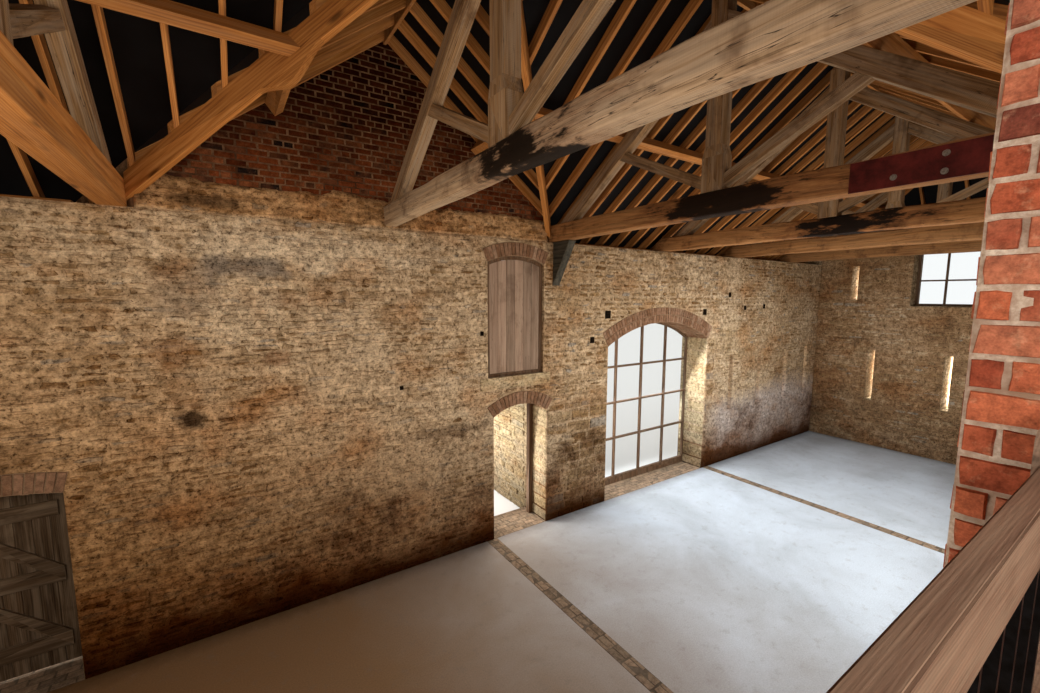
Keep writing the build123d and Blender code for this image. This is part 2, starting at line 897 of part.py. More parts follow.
def hip_short_rafters():
    """Short rafters of the east half hip, from the hips down to the wall."""
    half = rafter_width / 2
    face = slope_face(hip_z, hip_apex_x, verge_x, 0, rafter_rise)
    start_x = hip_apex_x + hip_rafter_width
    pieces = [along_y(face, -half, half) & box(start_x, verge_x, -half, half, 0, sky)]
    y = rafter_spacing
    while hip_x(y) < outer_x - rafter_spacing / 2:
        north = along_y(face, y - half, y + half) & east_of_hip(hip_rafter_width / 2)
        pieces.append(both_sides(north))
        y += rafter_spacing
    return group(pieces)


# Roof covering
def main_covering():
    """The north slope of the main roof, notched for the cross roof."""
    face = slope_face(main_z, 0, eaves_y, rafter_rise, covering_top)
    east = keep(along_x(face, 0, verge_x), [east_of_valley(), west_of_hip()])
    return fused(east, west_of(east))


def cross_covering():
    """The east slope of the cross roof, in two parts on either side of the main ridge."""
    face = slope_face(cross_z, 0, cross_eaves_x, rafter_rise, covering_top)
    north = keep(along_y(face, 0, north_verge_y), [west_of_valley()])
    south = keep(along_y(face, 0, verge_y), [west_of_valley()])
    return group([north, south_of(south)])


def hip_covering():
    face = slope_face(hip_z, hip_apex_x, verge_x, rafter_rise, covering_top)
    north = keep(along_y(face, 0, hip_end_y), [east_of_hip()])
    return fused(north, south_of(north))


def ridge_tiles():
    """Round ridge and hip tiles, bedded on the covering."""
    roof = under_main(covering_top)
    main_middle = main_z(0, covering_top) - ridge_tile_sink
    cross_middle = cross_z(0, covering_top) - ridge_tile_sink
    main = Pos(0, 0, main_middle) * Rot(0, 90, 0)
    main = main * Cylinder(ridge_tile_radius, 2 * (hip_apex_x - ridge_tile_gap))
    start = ridge_tile_radius + ridge_tile_gap
    north = ridge_run(cross_middle, start, north_verge_y)
    south = ridge_run(cross_middle, -verge_y, -start)
    cross = cut(group([north, south]), [roof, under_cross(covering_top)])
    run = sqrt((verge_x - hip_apex_x) ** 2 + hip_end_y ** 2)
    drop = hip_end_y * main_slope
    direction = (verge_x - hip_apex_x, hip_end_y, -drop)
    line = Plane(origin=(hip_apex_x, 0, main_middle), z_dir=direction)
    hip = extrude(line * Circle(ridge_tile_radius), amount=sqrt(run * run + drop * drop) * 1.1)
    start_x = hip_apex_x + ridge_tile_radius / 2
    room = box(start_x, verge_x, ridge_tile_gap, reach, 0, sky)
    hip = keep(hip, [room]) - (roof & under_hips(covering_top))
    main = cut(main, [roof, under_cross(covering_top)])
    return group([main, cross, four_ways(group([hip]))])


def ridge_run(middle_z, y0, y1):
    run = Pos(0, (y0 + y1) / 2, middle_z) * Rot(90, 0, 0)
    return run * Cylinder(ridge_tile_radius, y1 - y0)


# Plank door
def plank_door():
    """Boards, ledges and braces, strap hinges, and the pins they turn on."""
    margin = frame_width + leaf_gap
    west = door_west_jamb + margin
    east = door_east_jamb - margin
    bottom = floor_top + leaf_bottom_gap
    ledge_y = half_width + door_recess
    board_y = ledge_y + ledge_thickness
    boards = along_y(inner_opening(door_head, bottom, margin), board_y, door_face_y)
    x0 = west + ledge_end_margin
    x1 = east - ledge_end_margin
    frame = box(x0, x1, ledge_y, board_y, ledge_levels[0], ledge_levels[0] + ledge_height)
    for low, high in zip(ledge_levels[:-1], ledge_levels[1:]):
        frame += box(x0, x1, ledge_y, board_y, high, high + ledge_height)
        top = low + ledge_height
        brace = outline([(x0, high), (x0 + brace_width, high), (x1, top), (x1 - brace_width, top)])
        frame += along_y(brace, ledge_y, board_y)
    levels = [ledge_levels[0] + ledge_height / 2, ledge_levels[-1] + ledge_height / 2]
    return {
        "plank_door_boards": group([boards]),
        "plank_door_ledges": group([frame]),
        "plank_door_straps": group([strap_hinge(z) for z in levels]),
        "plank_door_pins": group([hinge_pin(z) for z in levels]),
    }


def strap_hinge(z):
    z0 = z - strap_height / 2
    z1 = z + strap_height / 2
    strap = box(hinge_x - strap_length, hinge_x, door_face_y, door_face_y + strap_thickness, z0, z1)
    knuckle = Pos(hinge_x, hinge_y, z) * Cylinder(knuckle_radius, strap_height)
    bore = Pos(hinge_x, hinge_y, z) * Cylinder(pin_radius + pin_gap, 2 * strap_height)
    return strap + knuckle - bore


def hinge_pin(z):
    """A pin on an arm from a plate on the frame's east post."""
    z0 = z - strap_height / 2 - hinge_clearance
    z1 = z + strap_height / 2 + pin_overhang
    arm_z = z0 - pin_arm_height
    plate_x = hinge_x + knuckle_radius + hinge_clearance
    pin = Pos(hinge_x, hinge_y, (arm_z + z1) / 2) * Cylinder(pin_radius, z1 - arm_z)
    arm = box(hinge_x, plate_x + pin_plate_width, hinge_y - pin_radius, hinge_y + pin_radius, arm_z,
              z0)
    plate = box(plate_x, plate_x + pin_plate_width, door_face_y, hinge_y - pin_radius + 2,
                arm_z - pin_plate_margin, z1 + pin_plate_margin)
    return pin + arm + plate


# Fixed joinery
def door_frames():
    """The plank door's frame, the posts in the open doorway and the loft door's frame."""
    outer = along_y(opening(door_head, floor_top), door_face_y - frame_depth, door_face_y)
    inner = along_y(inner_opening(door_head, floor_top, frame_width), half_width, outer_y)
    post_y = half_width + post_recess
    posts = along_y(opening(doorway_head, floor_top), post_y, post_y + post_size)
    posts = posts - box(doorway_west_jamb + post_size, doorway_east_jamb - post_size, half_width,
                        outer_y, 0, sky)
    loft_y = half_width + loft_recess
    loft = along_y(opening(loft_head, loft_sill_top), loft_y, loft_y + loft_frame_depth)
    loft = loft - along_y(inner_opening(loft_head, loft_sill_top + loft_frame, loft_frame),
                          half_width, outer_y)
    return group([outer - inner, posts, loft])


def loft_door():
    y0 = half_width + loft_recess + 10
    face = inner_opening(loft_head, loft_sill_top + loft_frame, loft_frame)
    return along_y(face, y0, y0 + loft_board)


def cart_screen():
    """The north cart opening's glazed screen."""
    y0 = half_width + screen_recess
    y1 = y0 + screen_depth
    start = cart_west_jamb
    outer = along_y(opening(cart_head, floor_top), y0, y1)
    panes = along_y(inner_opening(cart_head, floor_top + screen_rail, screen_bar), y0, y1)
    bars = []
    for index in range(1, screen_bays):
        x = start + index * cart_width / screen_bays
        bars.append(box(x - screen_bar / 2, x + screen_bar / 2, y0, y1, 0, sky))
    for z in screen_rows:
        bars.append(box(start, start + cart_width, y0, y1, z - screen_bar / 2, z + screen_bar / 2))
    return cut(outer, [cut(panes, bars)])


def cart_glass():
    y0 = half_width + screen_recess + screen_depth
    return along_y(inner_opening(cart_head, floor_top + glass_margin, glass_margin), y0,
                   y0 + glass_thickness)


def end_window():
    """The east end window's frame."""
    x0 = half_length + window_recess
    x1 = x0 + window_frame_depth
    outer = along_x(opening(window_head, window_bottom), x0, x1)
    panes = along_x(inner_opening(window_head, window_bottom + window_bar, window_bar), x0, x1)
    bars = []
    for index in range(1, window_bays):
        y = -window_width / 2 + index * window_width / window_bays
        bars.append(box(x0, x1, y - window_bars / 2, y + window_bars / 2, 0, sky))
    for row in window_rows:
        z = window_bottom + row
        bars.append(box(x0, x1, -window_width, window_width, z - window_bars / 2,
                        z + window_bars / 2))
    return cut(outer, [cut(panes, bars)])


def end_glass():
    x0 = half_length + window_recess + window_frame_depth
    return along_x(inner_opening(window_head, window_bottom + glass_margin, glass_margin), x0,
                   x0 + glass_thickness)


def all_pieces():
    """Every named piece of the barn."""
    kings = group([king_post(x) for x in all_places])
    principals = group([both_sides(principal(x)) for x in all_places])
    ties = group([tie_beam(x) for x in oak_places])
    pine_tie = group([tie_beam(pine_place)])
    plates = wall_plates()
    hip = both_sides(hip_rafter())
    roof_purlins = purlins()
    ridges = ridge_boards(kings)
    valleys = valley_beams([kings, principals, ridges])
    pieces = {
        "end_walls": end_walls([hip, roof_purlins]),
        "brick_gables": brick_gables([ties, pine_tie, valleys]),
        "brick_arches": brick_arches(),
        "brick_pier": brick_pier(),
        "loft_door_sill": loft_sill,
        "yard_wall": yard_wall(),
        "wall_plates": plates,
        "oak_tie_beams": ties,
        "pine_tie_beam": pine_tie,
        "king_posts": kings,
        "principal_rafters": principals,
        "truss_struts": group([both_sides(strut(x)) for x in all_places]),
        "knee_bracket": knee_bracket(),
        "steel_plate": steel_plate(),
        "ridge_boards": ridges,
        "purlins": roof_purlins,
        "valley_beams": valleys,
        "main_rafters": main_rafters(plates),
        "cross_rafters": cross_rafters(plates),
        "hip_rafters": both_ends(hip),
        "hip_short_rafters": both_ends(hip_short_rafters()),
        "main_roof_north": main_covering(),
        "main_roof_south": south_of(main_covering()),
        "cross_roof_east": cross_covering(),
        "cross_roof_west": west_of(cross_covering()),
        "half_hip_roofs": both_ends(hip_covering()),
        "ridge_tiles": ridge_tiles(),
        "door_frames": door_frames(),
        "loft_door": loft_door(),
        "cart_screens": both_sides(cart_screen()),
        "cart_glass": both_sides(cart_glass()),
        "end_window_frames": both_ends(end_window()),
        "end_window_glass": both_ends(end_glass()),
    }
    pieces.update(long_walls())
    pieces.update(wing_walls())
    pieces.update(floors())
    pieces.update(gallery())
    pieces.update(plank_door())
    return pieces


def save(name, shape):
    moved = [Pos(0, plan_shift, 0) * solid for solid in shape.solids()]
    export_step(Compound(moved), f"parts/{name}.step")


os.makedirs("parts", exist_ok=True)
for piece_name, piece in all_pieces().items():
    save(piece_name, piece)
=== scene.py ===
from math import asin, atan2, ceil, cos, pi, radians, sin, sqrt, tan
from random import Random

import bpy
from mathutils import Matrix, Vector, noise


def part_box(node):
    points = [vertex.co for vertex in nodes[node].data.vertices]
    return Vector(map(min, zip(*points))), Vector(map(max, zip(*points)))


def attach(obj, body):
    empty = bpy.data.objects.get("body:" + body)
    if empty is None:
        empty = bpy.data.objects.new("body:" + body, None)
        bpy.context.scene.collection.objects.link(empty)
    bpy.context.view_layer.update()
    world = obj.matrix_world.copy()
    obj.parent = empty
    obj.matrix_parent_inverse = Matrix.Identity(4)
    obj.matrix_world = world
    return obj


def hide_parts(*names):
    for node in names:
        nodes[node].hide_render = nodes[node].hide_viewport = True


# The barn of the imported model, dressed with its stones, bricks, boards and tiles.
# Metres. x runs along the barn to the east, y across it to the north, z up from the ground.
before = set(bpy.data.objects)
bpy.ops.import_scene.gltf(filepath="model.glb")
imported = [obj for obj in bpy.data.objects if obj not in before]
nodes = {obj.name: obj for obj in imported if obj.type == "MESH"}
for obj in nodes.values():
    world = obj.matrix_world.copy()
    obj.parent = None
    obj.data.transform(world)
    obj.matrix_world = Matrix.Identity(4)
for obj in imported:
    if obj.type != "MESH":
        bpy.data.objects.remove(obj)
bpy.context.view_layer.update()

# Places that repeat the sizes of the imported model
RIDGE_Y = 0.53
HALF_LENGTH, OUTER_X = 13.05, 13.75
HALF_WIDTH, OUTER_Y = 3.05, 3.75
NORTH_IN, NORTH_OUT = RIDGE_Y + HALF_WIDTH, RIDGE_Y + OUTER_Y
SOUTH_IN, SOUTH_OUT = RIDGE_Y - HALF_WIDTH, RIDGE_Y - OUTER_Y
GABLE_X, WING_X = 2.76, 3.31
WING_IN, WING_OUT = RIDGE_Y - 6.2, RIDGE_Y - 6.75
GABLE_Y = NORTH_IN + 0.03
PIER_X, PIER_NORTH = 0.79, SOUTH_IN - 0.02
WALL_TOP, FLOOR_TOP = 5.22, 0.1
LEDGE_TOP = 5.57
OUTER_TOP, OUTER_END_TOP, OUTER_WING_TOP = 5.06, 5.84, 5.14
PITCH, HIP_PITCH = radians(35.5), radians(50.5)
MAIN_SLOPE, HIP_SLOPE = tan(PITCH), tan(HIP_PITCH)
STRUT_SLOPE = tan(radians(26))
MAIN_PEAK = 5.295 + 3.45 * MAIN_SLOPE
CROSS_PEAK = MAIN_PEAK - 0.058
CROSS_SLOPE = (HALF_WIDTH * MAIN_SLOPE - 0.058) / GABLE_X
HIP_WALL_TOP, HIP_SEAT_X = MAIN_PEAK - 1.526, 13.45
COVER_TOP, COVER_IN, COVER_OUT = 0.255, 0.1, 0.14
EAVES_Y, VERGE_X, VERGE_Y, NORTH_VERGE_Y = 3.93, 13.81, 6.81, 3.81
TIE_WIDTH, TIE_DEPTH, TIE_END = 0.24, 0.285, 3.42
TIE_PLACES = (-11.35, -8.6, -5.95, 0.0, 2.94, 5.95, 8.6, 11.35)
STRIPS, STRIP_WIDTH = (1.61, 7.68), 0.2
YARD_FACES, YARD_LENGTH, YARD_TOP = (2.77, 3.22), 2.0, 2.2

# Openings: west jamb, width, bottom, spring, rise and depth of the brick ring
DOOR = (-4.69, 1.15, 0.0, 2.24, 0.07, 0.225)
DOORWAY = (1.65, 1.12, 0.0, 2.25, 0.17, 0.225)
LOFT = (1.55, 1.13, 2.93, 4.83, 0.12, 0.225)
CART = (4.27, 3.25, 0.0, 3.29, 0.44, 0.32)
END_WINDOW = (-0.88, 1.76, 4.04, 5.59, 0.12, 0.225)
WING_DOOR = (-0.56, 1.12, 0.0, 2.25, 0.17, 0.225)
WING_WINDOW = (-0.565, 1.13, 3.8, 4.83, 0.12, 0.225)
LOFT_SILL = (1.39, 2.84, 2.72, 2.94)
SLITS, END_SLITS, UPPER_SLIT = (8.57, 9.88, 11.25, 12.44), (-1.62, 0.0, 1.62), 2.16
SLIT_HALF, SLIT_HALF_OUT = 0.085, 0.045
SLIT_HEIGHTS, UPPER_SLIT_HEIGHTS = (1.4, 2.8), (4.18, 5.13)

# Holes that scaffold poles left in the north wall: place along it, height and half width
PUTLOGS = ((4.24, 3.92, 0.07), (3.84, 3.45, 0.05), (7.37, 3.92, 0.065), (8.35, 4.32, 0.05),
           (9.05, 3.99, 0.05), (9.95, 4.02, 0.05), (0.09, 2.94, 0.025), (1.44, 3.68, 0.03))


def main_z(y):
    return MAIN_PEAK - abs(y - RIDGE_Y) * MAIN_SLOPE


def hip_z(x, lift=0.0):
    return HIP_WALL_TOP + lift + (HIP_SEAT_X - abs(x)) * HIP_SLOPE


def valley_x(distance):
    """How far the valley is from the cross roof's ridge, at a distance from the main ridge."""
    return (CROSS_PEAK - MAIN_PEAK + distance * MAIN_SLOPE) / CROSS_SLOPE


def hip_x(distance):
    return HIP_SEAT_X - (MAIN_PEAK - distance * MAIN_SLOPE - HIP_WALL_TOP) / HIP_SLOPE


# Camera, at the photograph's place and angle
def add_camera():
    yaw, pitch, roll = radians(33.647), radians(6.515), radians(-0.124)
    ahead = Vector((sin(yaw) * cos(pitch), cos(yaw) * cos(pitch), -sin(pitch)))
    right = Vector((cos(yaw), -sin(yaw), 0))
    down = ahead.cross(right)
    right, down = right * cos(roll) + down * sin(roll), down * cos(roll) - right * sin(roll)
    data = bpy.data.cameras.new("view")
    data.lens, data.sensor_width = 15.551, 36
    data.clip_start, data.clip_end = 0.05, 300
    camera = bpy.data.objects.new("view", data)
    turn = Matrix((right, -down, -ahead)).transposed().to_4x4()
    camera.matrix_world = Matrix.Translation((-2.06, -2.79, 4.30)) @ turn
    bpy.context.scene.collection.objects.link(camera)
    bpy.context.scene.camera = camera


# Materials. Every colour is written as it looks on screen, 0 to 255.
ROUGH_FROM = 0.85


def rgb(red, green, blue):
    def linear(value):
        value /= 255
        return value / 12.92 if value <= 0.04045 else ((value + 0.055) / 1.055) ** 2.4
    return (linear(red), linear(green), linear(blue), 1)


class Finish:
    """A material, its colour so far, and short ways to add its nodes."""

    def __init__(self, name, roughness):
        self.material = bpy.data.materials.new(name)
        self.material.use_nodes = True
        self.tree = self.material.node_tree
        self.shader = self.tree.nodes["Principled BSDF"]
        self.colour = None
        self.set("Roughness", roughness)
        self.set("Specular IOR Level", 0.3 if roughness < ROUGH_FROM else 0.0)
        self.place = self.add("TexCoord").outputs["Object"]
        self.x, self.y, self.z = self.add("SeparateXYZ", {"Vector": self.place}).outputs

    def add(self, kind, values=(), **settings):
        made = self.tree.nodes.new("ShaderNode" + kind)
        for key, value in settings.items():
            setattr(made, key, value)
        for key, value in dict(values).items():
            self.put(made.inputs[key], value)
        return made

    def put(self, socket, value):
        if isinstance(value, bpy.types.NodeSocket):
            self.tree.links.new(value, socket)
        elif socket.type == "RGBA" and len(value) == 3:
            socket.default_value = rgb(*value)
        else:
            socket.default_value = value

    def set(self, name, value):
        self.put(self.shader.inputs[name], value)

    def maths(self, kind, a, b=0.0):
        return self.add("Math", {0: a, 1: b}, operation=kind).outputs[0]

    def product(self, a, b):
        return self.maths("MULTIPLY", a, b)

    def off(self, value, centre):
        """How far a value is from a centre."""
        return self.maths("ABSOLUTE", self.maths("SUBTRACT", value, centre))

    def blend(self, *pairs):
        """The sum of values, each with its share."""
        total = None
        for value, share in pairs:
            part = self.product(value, share)
            total = part if total is None else self.maths("ADD", total, part)
        return total

    def island(self):
        return self.add("NewGeometry").outputs["Random Per Island"]

    def stretch(self, place, *scale):
        return self.add("Mapping", {"Vector": place, "Scale": scale}).outputs[0]

    def noise(self, scale, detail, rough, stretch=None, place=None, twist=0.0):
        place = place or self.place
        if stretch:
            place = self.stretch(place, *stretch)
        return self.add("TexNoise", {"Vector": place, "Scale": scale, "Detail": detail,
                                     "Roughness": rough, "Distortion": twist}).outputs["Fac"]

    def ramp(self, value, colours, places=None):
        """Colours over a value from 0 to 1, evenly spread unless their places are given."""
        made = self.add("ValToRGB", {"Fac": value})
        band = made.color_ramp.elements
        while len(band) < len(colours):
            band.new(0.5)
        for index, (element, colour) in enumerate(zip(band, colours)):
            element.position = places[index] if places else 0.05 + 0.9 * index / (len(colours) - 1)
            element.color = rgb(*colour)
        return made.outputs["Color"]

    def range(self, value, low, high, to_low=0.0, to_high=1.0):
        return self.add("MapRange", {"Value": value, "From Min": low, "From Max": high,
                                     "To Min": to_low, "To Max": to_high}).outputs["Result"]

    def mix(self, amount, first, second, kind="MIX"):
        made = self.add("Mix", data_type="RGBA", blend_type=kind)
        for index, value in ((0, amount), (6, first), (7, second)):
            self.put(made.inputs[index], value)
        return made.outputs[2]

    def paint(self, amount, tone):
        """Covers the colour with a tone."""
        self.colour = self.mix(amount, self.colour, tone)

    def stain(self, amount, tone):
        """Darkens the colour by a tone."""
        self.colour = self.mix(amount, self.colour, tone, "MULTIPLY")

    def shade(self, value):
        """Darkens or lightens the colour by a value about 1."""
        self.stain(1.0, self.add("CombineColor", {0: value, 1: value, 2: value}).outputs[0])

    def bump(self, height, strength, distance, under=None):
        values = {"Height": height, "Strength": strength, "Distance": distance}
        if under is not None:
            values["Normal"] = under
        return self.add("Bump", values).outputs["Normal"]

    def spot(self, edges, x, z, wide, high, strength):
        """A ragged oval on a wall, with its strength inside and 0 outside."""
        place = self.add("Mapping", {"Vector": self.place, "Location": (-x / wide, 0, -z / high),
                                     "Scale": (1 / wide, 0, 1 / high)}).outputs[0]
        away = self.add("VectorMath", {0: place}, operation="LENGTH").outputs["Value"]
        return self.range(self.maths("ADD", away, edges), 1.8, 2.4, strength, 0.0)

    def finish(self, normal, roughness=None):
        self.set("Base Color", self.colour)
        self.set("Normal", normal)
        if roughness is not None:
            self.set("Roughness", roughness)
        return self.material


# Marks on the north wall: place, height, half width, half height, strength and colour
NORTH_MARKS = (
    (-2.43, 2.86, 0.17, 0.12, 0.85, (40, 26, 14)), (0.95, 2.17, 0.75, 0.09, 0.6, (92, 68, 46)),
    (-2.52, 3.65, 0.3, 0.2, 0.55, (120, 78, 40)), (-1.5, 3.52, 0.16, 0.1, 0.6, (112, 72, 40)),
    (-1.3, 4.22, 0.2, 0.1, 0.55, (116, 78, 44)), (-1.1, 4.85, 1.4, 0.28, 0.5, (216, 198, 170)),
    (-1.9, 4.1, 0.5, 0.5, 0.4, (206, 188, 160)), (-1.7, 4.63, 0.5, 0.16, 0.75, (112, 102, 92)),
    (-2.3, 4.4, 0.35, 0.3, 0.4, (118, 100, 84)), (3.3, 4.3, 0.5, 0.4, 0.35, (140, 110, 74)),
    # The last mark here, a dark band under the ledge, is partly dark timber remains and partly painted shadow
    # in the recess there.
    (8.6, 3.2, 0.7, 0.5, 0.4, (150, 128, 96)), (-2.2, 5.36, 0.6, 0.07, 0.7, (62, 46, 32)),
)


def stone_finish(name, tones, lime, cover, random_tone=True, depth=0.012, north=False):
    """Rubble or lime, with washed patches, grime over the floor and a rough face; on the north wall, painted
    shade on the ledge and partly in the warm tint low to the west.
    """
    made = Finish(name, 0.93)
    patches = made.noise(0.42, 3, 0.62)
    clouds = made.noise(1.05, 4, 0.68)
    edges = made.noise(3.2, 3, 0.68)
    crumbs = made.noise(13, 3, 0.7)
    grit = made.noise(55, 2, 0.6)
    streak = made.noise(1.0, 3, 0.62, (1.6, 1.6, 9))
    shares = (0.75, 0.2, 0.25) if random_tone else (0.0, 0.5, 0.5)
    made.colour = made.ramp(made.blend(*zip((made.island(), edges, streak), shares)), tones)
    washed = made.blend((patches, 0.6), (crumbs, 0.3), (streak, 0.3))
    made.paint(made.range(washed, 0.66 - 0.2 * cover, 0.76 - 0.1 * cover, 0.0, 0.8), lime)
    if north:
        low = made.range(made.blend((made.z, 1), (patches, 1.6), (crumbs, 0.8)), 2.5, 3.1, 0.8, 0.0)
        made.paint(made.product(made.range(made.x, 7.4, 8.2), low), (184, 171, 163))
        ragged = made.product(edges, 2.4)
        for *mark, tone in NORTH_MARKS:
            made.paint(made.spot(ragged, *mark), tone)
    made.shade(made.range(made.blend((crumbs, 1), (grit, 0.6)), 0.6, 1.0, 0.54, 1.42))
    beds = made.range(made.off(made.noise(1.0, 3, 0.6, (1.3, 1.3, 12)), 0.5), 0.0, 0.016, 0.6, 0.0)
    pits = made.range(made.noise(26, 3, 0.75), 0.35, 0.42, 0.7, 0.0)
    made.stain(made.maths("MAXIMUM", beds, pits), (124, 92, 62))
    made.stain(made.range(made.noise(0.8, 3, 0.65, (1, 1, 1.6)), 0.5, 0.68, 0.0, 0.55), (214, 166, 108))
    made.stain(made.range(clouds, 0.57, 0.72, 0.0, 0.5), (120, 96, 74))
    if north:
        # Warmer and darker low down and to the west: partly the stones' browner tone, partly painted shade
        # where less light reaches.
        west_tone_and_shade = made.blend((made.z, 1), (made.x, 0.6), (patches, -2))
        made.stain(made.range(west_tone_and_shade, -2.6, 1.8, 0.95, 0.0), (238, 200, 146))
        damp = made.blend((made.z, 1), (clouds, -2.6))
        made.stain(made.range(damp, -1.1, 0.1, 0.92, 0.0), (126, 84, 42))
        foot = made.blend((made.z, 1), (crumbs, -0.5))
        made.stain(made.range(foot, -0.1, 0.25, 0.8, 0.0), (110, 78, 46))
        # Painted shade on the ledge under the gable, west of x = 3, for the shade of the roof timbers over
        # it.
        ledge = made.range(made.z, 5.2, 5.26, 0.0, 0.9)
        made.stain(made.product(ledge, made.range(made.x, 2.8, 3.0, 1.0, 0.0)), (240, 214, 184))
    else:
        damp = made.blend((made.z, 1), (clouds, -2.2))
        made.stain(made.range(damp, -1.3, 0.55, 0.6, 0.0), (84, 62, 40))
    return made.finish(made.bump(crumbs, 0.8, depth, made.bump(grit, 0.5, 0.004)))


def brick_finish(name, tones, smear, smear_amount, dirt=0.0, fine=1.0, soot_and_shade=0.0):
    made = Finish(name, 0.88)
    face = made.noise(18 * fine, 3, 0.65)
    grit = made.noise(90 * fine, 2, 0.6)
    made.colour = made.ramp(made.blend((made.island(), 0.8), (made.noise(7 * fine, 3, 0.5), 0.3)), tones)
    film = made.range(made.noise(26, 4, 0.72), 0.62 - 0.1 * smear_amount, 0.8, 0.0, smear_amount)
    made.paint(film, smear)
    made.shade(made.range(made.blend((face, 1), (grit, 0.5)), 0.55, 0.95, 0.62, 1.28))
    if dirt:
        made.stain(made.range(made.noise(1.2, 3, 0.65), 0.4, 0.7, 0.0, dirt), (90, 70, 58))
    # Darker towards the tops of the gables: partly soot, partly painted shade where little light reaches
    # them.
    if soot_and_shade:
        high = made.blend((made.z, 1), (made.noise(0.9, 3, 0.65), 1))
        made.stain(made.range(high, 6.0, 7.3, 0.0, soot_and_shade), (96, 76, 52))
    return made.finish(made.bump(face, 0.6, 0.006, made.bump(grit, 0.4, 0.002)))


def mortar_finish(name, colour, dark, fine=1.0):
    made = Finish(name, 0.95)
    crumbs = made.noise(30 * fine, 3, 0.7)
    made.colour = made.ramp(made.noise(4 * fine, 3, 0.65), (dark, colour), (0.35, 0.65))
    made.paint(made.range(crumbs, 0.35, 0.62, 0.6, 0.0), dark)
    return made.finish(made.bump(crumbs, 0.8, 0.006 / fine))


def grain_place(made, grain):
    """Coordinates with the grain along x, each timber with a piece of its own."""
    level = made.maths("SUBTRACT", made.y, RIDGE_Y)
    across, along = made.maths("ABSOLUTE", level), made.maths("ABSOLUTE", made.x)
    straight = {"x": (made.x, level, made.z), "y": (level, made.x, made.z), "z": (made.z, made.x, level)}
    if grain in straight:
        axes = straight[grain]
    else:
        if grain in ("valley", "hip"):
            turn = atan2(MAIN_SLOPE, CROSS_SLOPE if grain == "valley" else HIP_SLOPE)
            ground = made.blend((along, sin(turn)), (across, cos(turn)))
            side = made.blend((along, cos(turn)), (across, -sin(turn)))
            slope = MAIN_SLOPE * cos(turn)
        else:
            ground, side, slope = {"main": (across, made.x, MAIN_SLOPE),
                                   "strut": (across, made.x, -STRUT_SLOPE),
                                   "cross": (along, level, CROSS_SLOPE),
                                   "hip_short": (along, level, HIP_SLOPE)}[grain]
        size = sqrt(1 + slope * slope)
        axes = (made.blend((ground, 1 / size), (made.z, -slope / size)), side,
                made.blend((ground, slope / size), (made.z, 1 / size)))
    shift = made.product(made.island(), 37.0)
    return made.add("CombineXYZ", {0: made.maths("ADD", axes[0], shift),
                                   1: made.maths("ADD", axes[1], shift), 2: axes[2]}).outputs[0]


def wood_finish(name, grain, colours, knots=0.5, weather=0.0, saw=0.0, depth=0.002, soot=(), cracks=0.0,
                fine=1.0):
    """Timber with long grain, year rings, knots, saw marks and weathering; soot gives charred lengths."""
    made = Finish(name, 0.74)
    light, mid, dark = colours
    place = grain_place(made, grain)
    if fine != 1:
        place = made.stretch(place, fine, fine, fine)
    long = made.stretch(place, 0.55, 9, 9)
    broad = made.noise(1.4, 4, 0.6, None, long, 0.8)
    fibre = made.noise(1.0, 3, 0.6, (2.2, 90, 90), place)
    rings = made.add("TexWave", {"Vector": made.stretch(place, 0.1, 1, 1), "Scale": 21, "Distortion": 7,
                                 "Detail": 2, "Detail Scale": 0.5}, wave_type="RINGS", rings_direction="X")
    grown = made.blend((broad, 0.5), (fibre, 0.4), (rings.outputs["Fac"], 0.12))
    made.colour = made.ramp(grown, (dark, mid, light), (0.34, 0.5, 0.7))
    made.shade(made.range(made.island(), 0, 1, 0.74, 1.14))
    if knots:
        eyes = made.add("TexVoronoi", {"Vector": made.stretch(place, 1.1, 3.6, 3.6), "Scale": 1.0})
        eyes = made.range(eyes.outputs["Distance"], 0.05, 0.14, knots, 0.0)
        made.paint(eyes, [0.3 * part for part in rgb(*dark)[:3]] + [1])
    if weather:
        pale = made.range(made.noise(1.8, 4, 0.65, None, long), 0.42, 0.62, 0.0, weather)
        made.paint(pale, (164, 146, 124))
        made.stain(made.range(made.noise(2.3, 4, 0.7), 0.55, 0.68, 0.0, weather), (120, 92, 66))
    height = fibre
    if cracks:
        split = made.off(made.noise(1.0, 3, 0.6, (0.5, 16, 16), place), 0.5)
        split = made.range(split, 0.001, 0.006, cracks, 0.0)
        made.paint(split, (34, 24, 17))
        height = made.blend((broad, 0.6), (fibre, 0.35), (split, -1.2))
    if soot:
        # The ties east of x = 1 to 2 are made darker than the first one.
        made.stain(made.range(made.x, 1.0, 2.0), (224, 188, 148))
        flame = made.noise(2.2, 5, 0.7, (1, 0.8, 3))
    for x, centre, reach, amount in soot:
        near = made.range(made.off(made.x, x), 1.0, 1.3, 1.0, 0.0)
        rough = made.blend((made.off(made.y, centre), 1.0), (flame, 3.2))
        for fade, share, tone, lay in ((2.5, 0.7, (150, 108, 72), made.stain),
                                       (1.75, 1, (16, 13, 11), made.paint)):
            burnt = made.range(rough, reach + 1.5, reach + fade, amount * share, 0.0)
            lay(made.product(burnt, near), tone)
    normal = made.bump(height, 0.6, depth)
    if saw:
        band = made.add("TexWave", {"Vector": made.stretch(place, 1, 0.18, 0.18), "Scale": 24,
                                    "Distortion": 3, "Detail": 2, "Detail Scale": 1.5})
        normal = made.bump(band.outputs["Fac"], saw, 0.003, normal)
    return made.finish(normal)


def plain_finish(name, colour, second, scale, roughness, depth=0.001, metal=0.0):
    made = Finish(name, roughness)
    mottle = made.noise(scale, 5, 0.65)
    made.set("Metallic", metal)
    made.colour = made.ramp(mottle, (second, colour), (0.35, 0.65))
    return made.finish(made.bump(mottle, 0.5, depth))


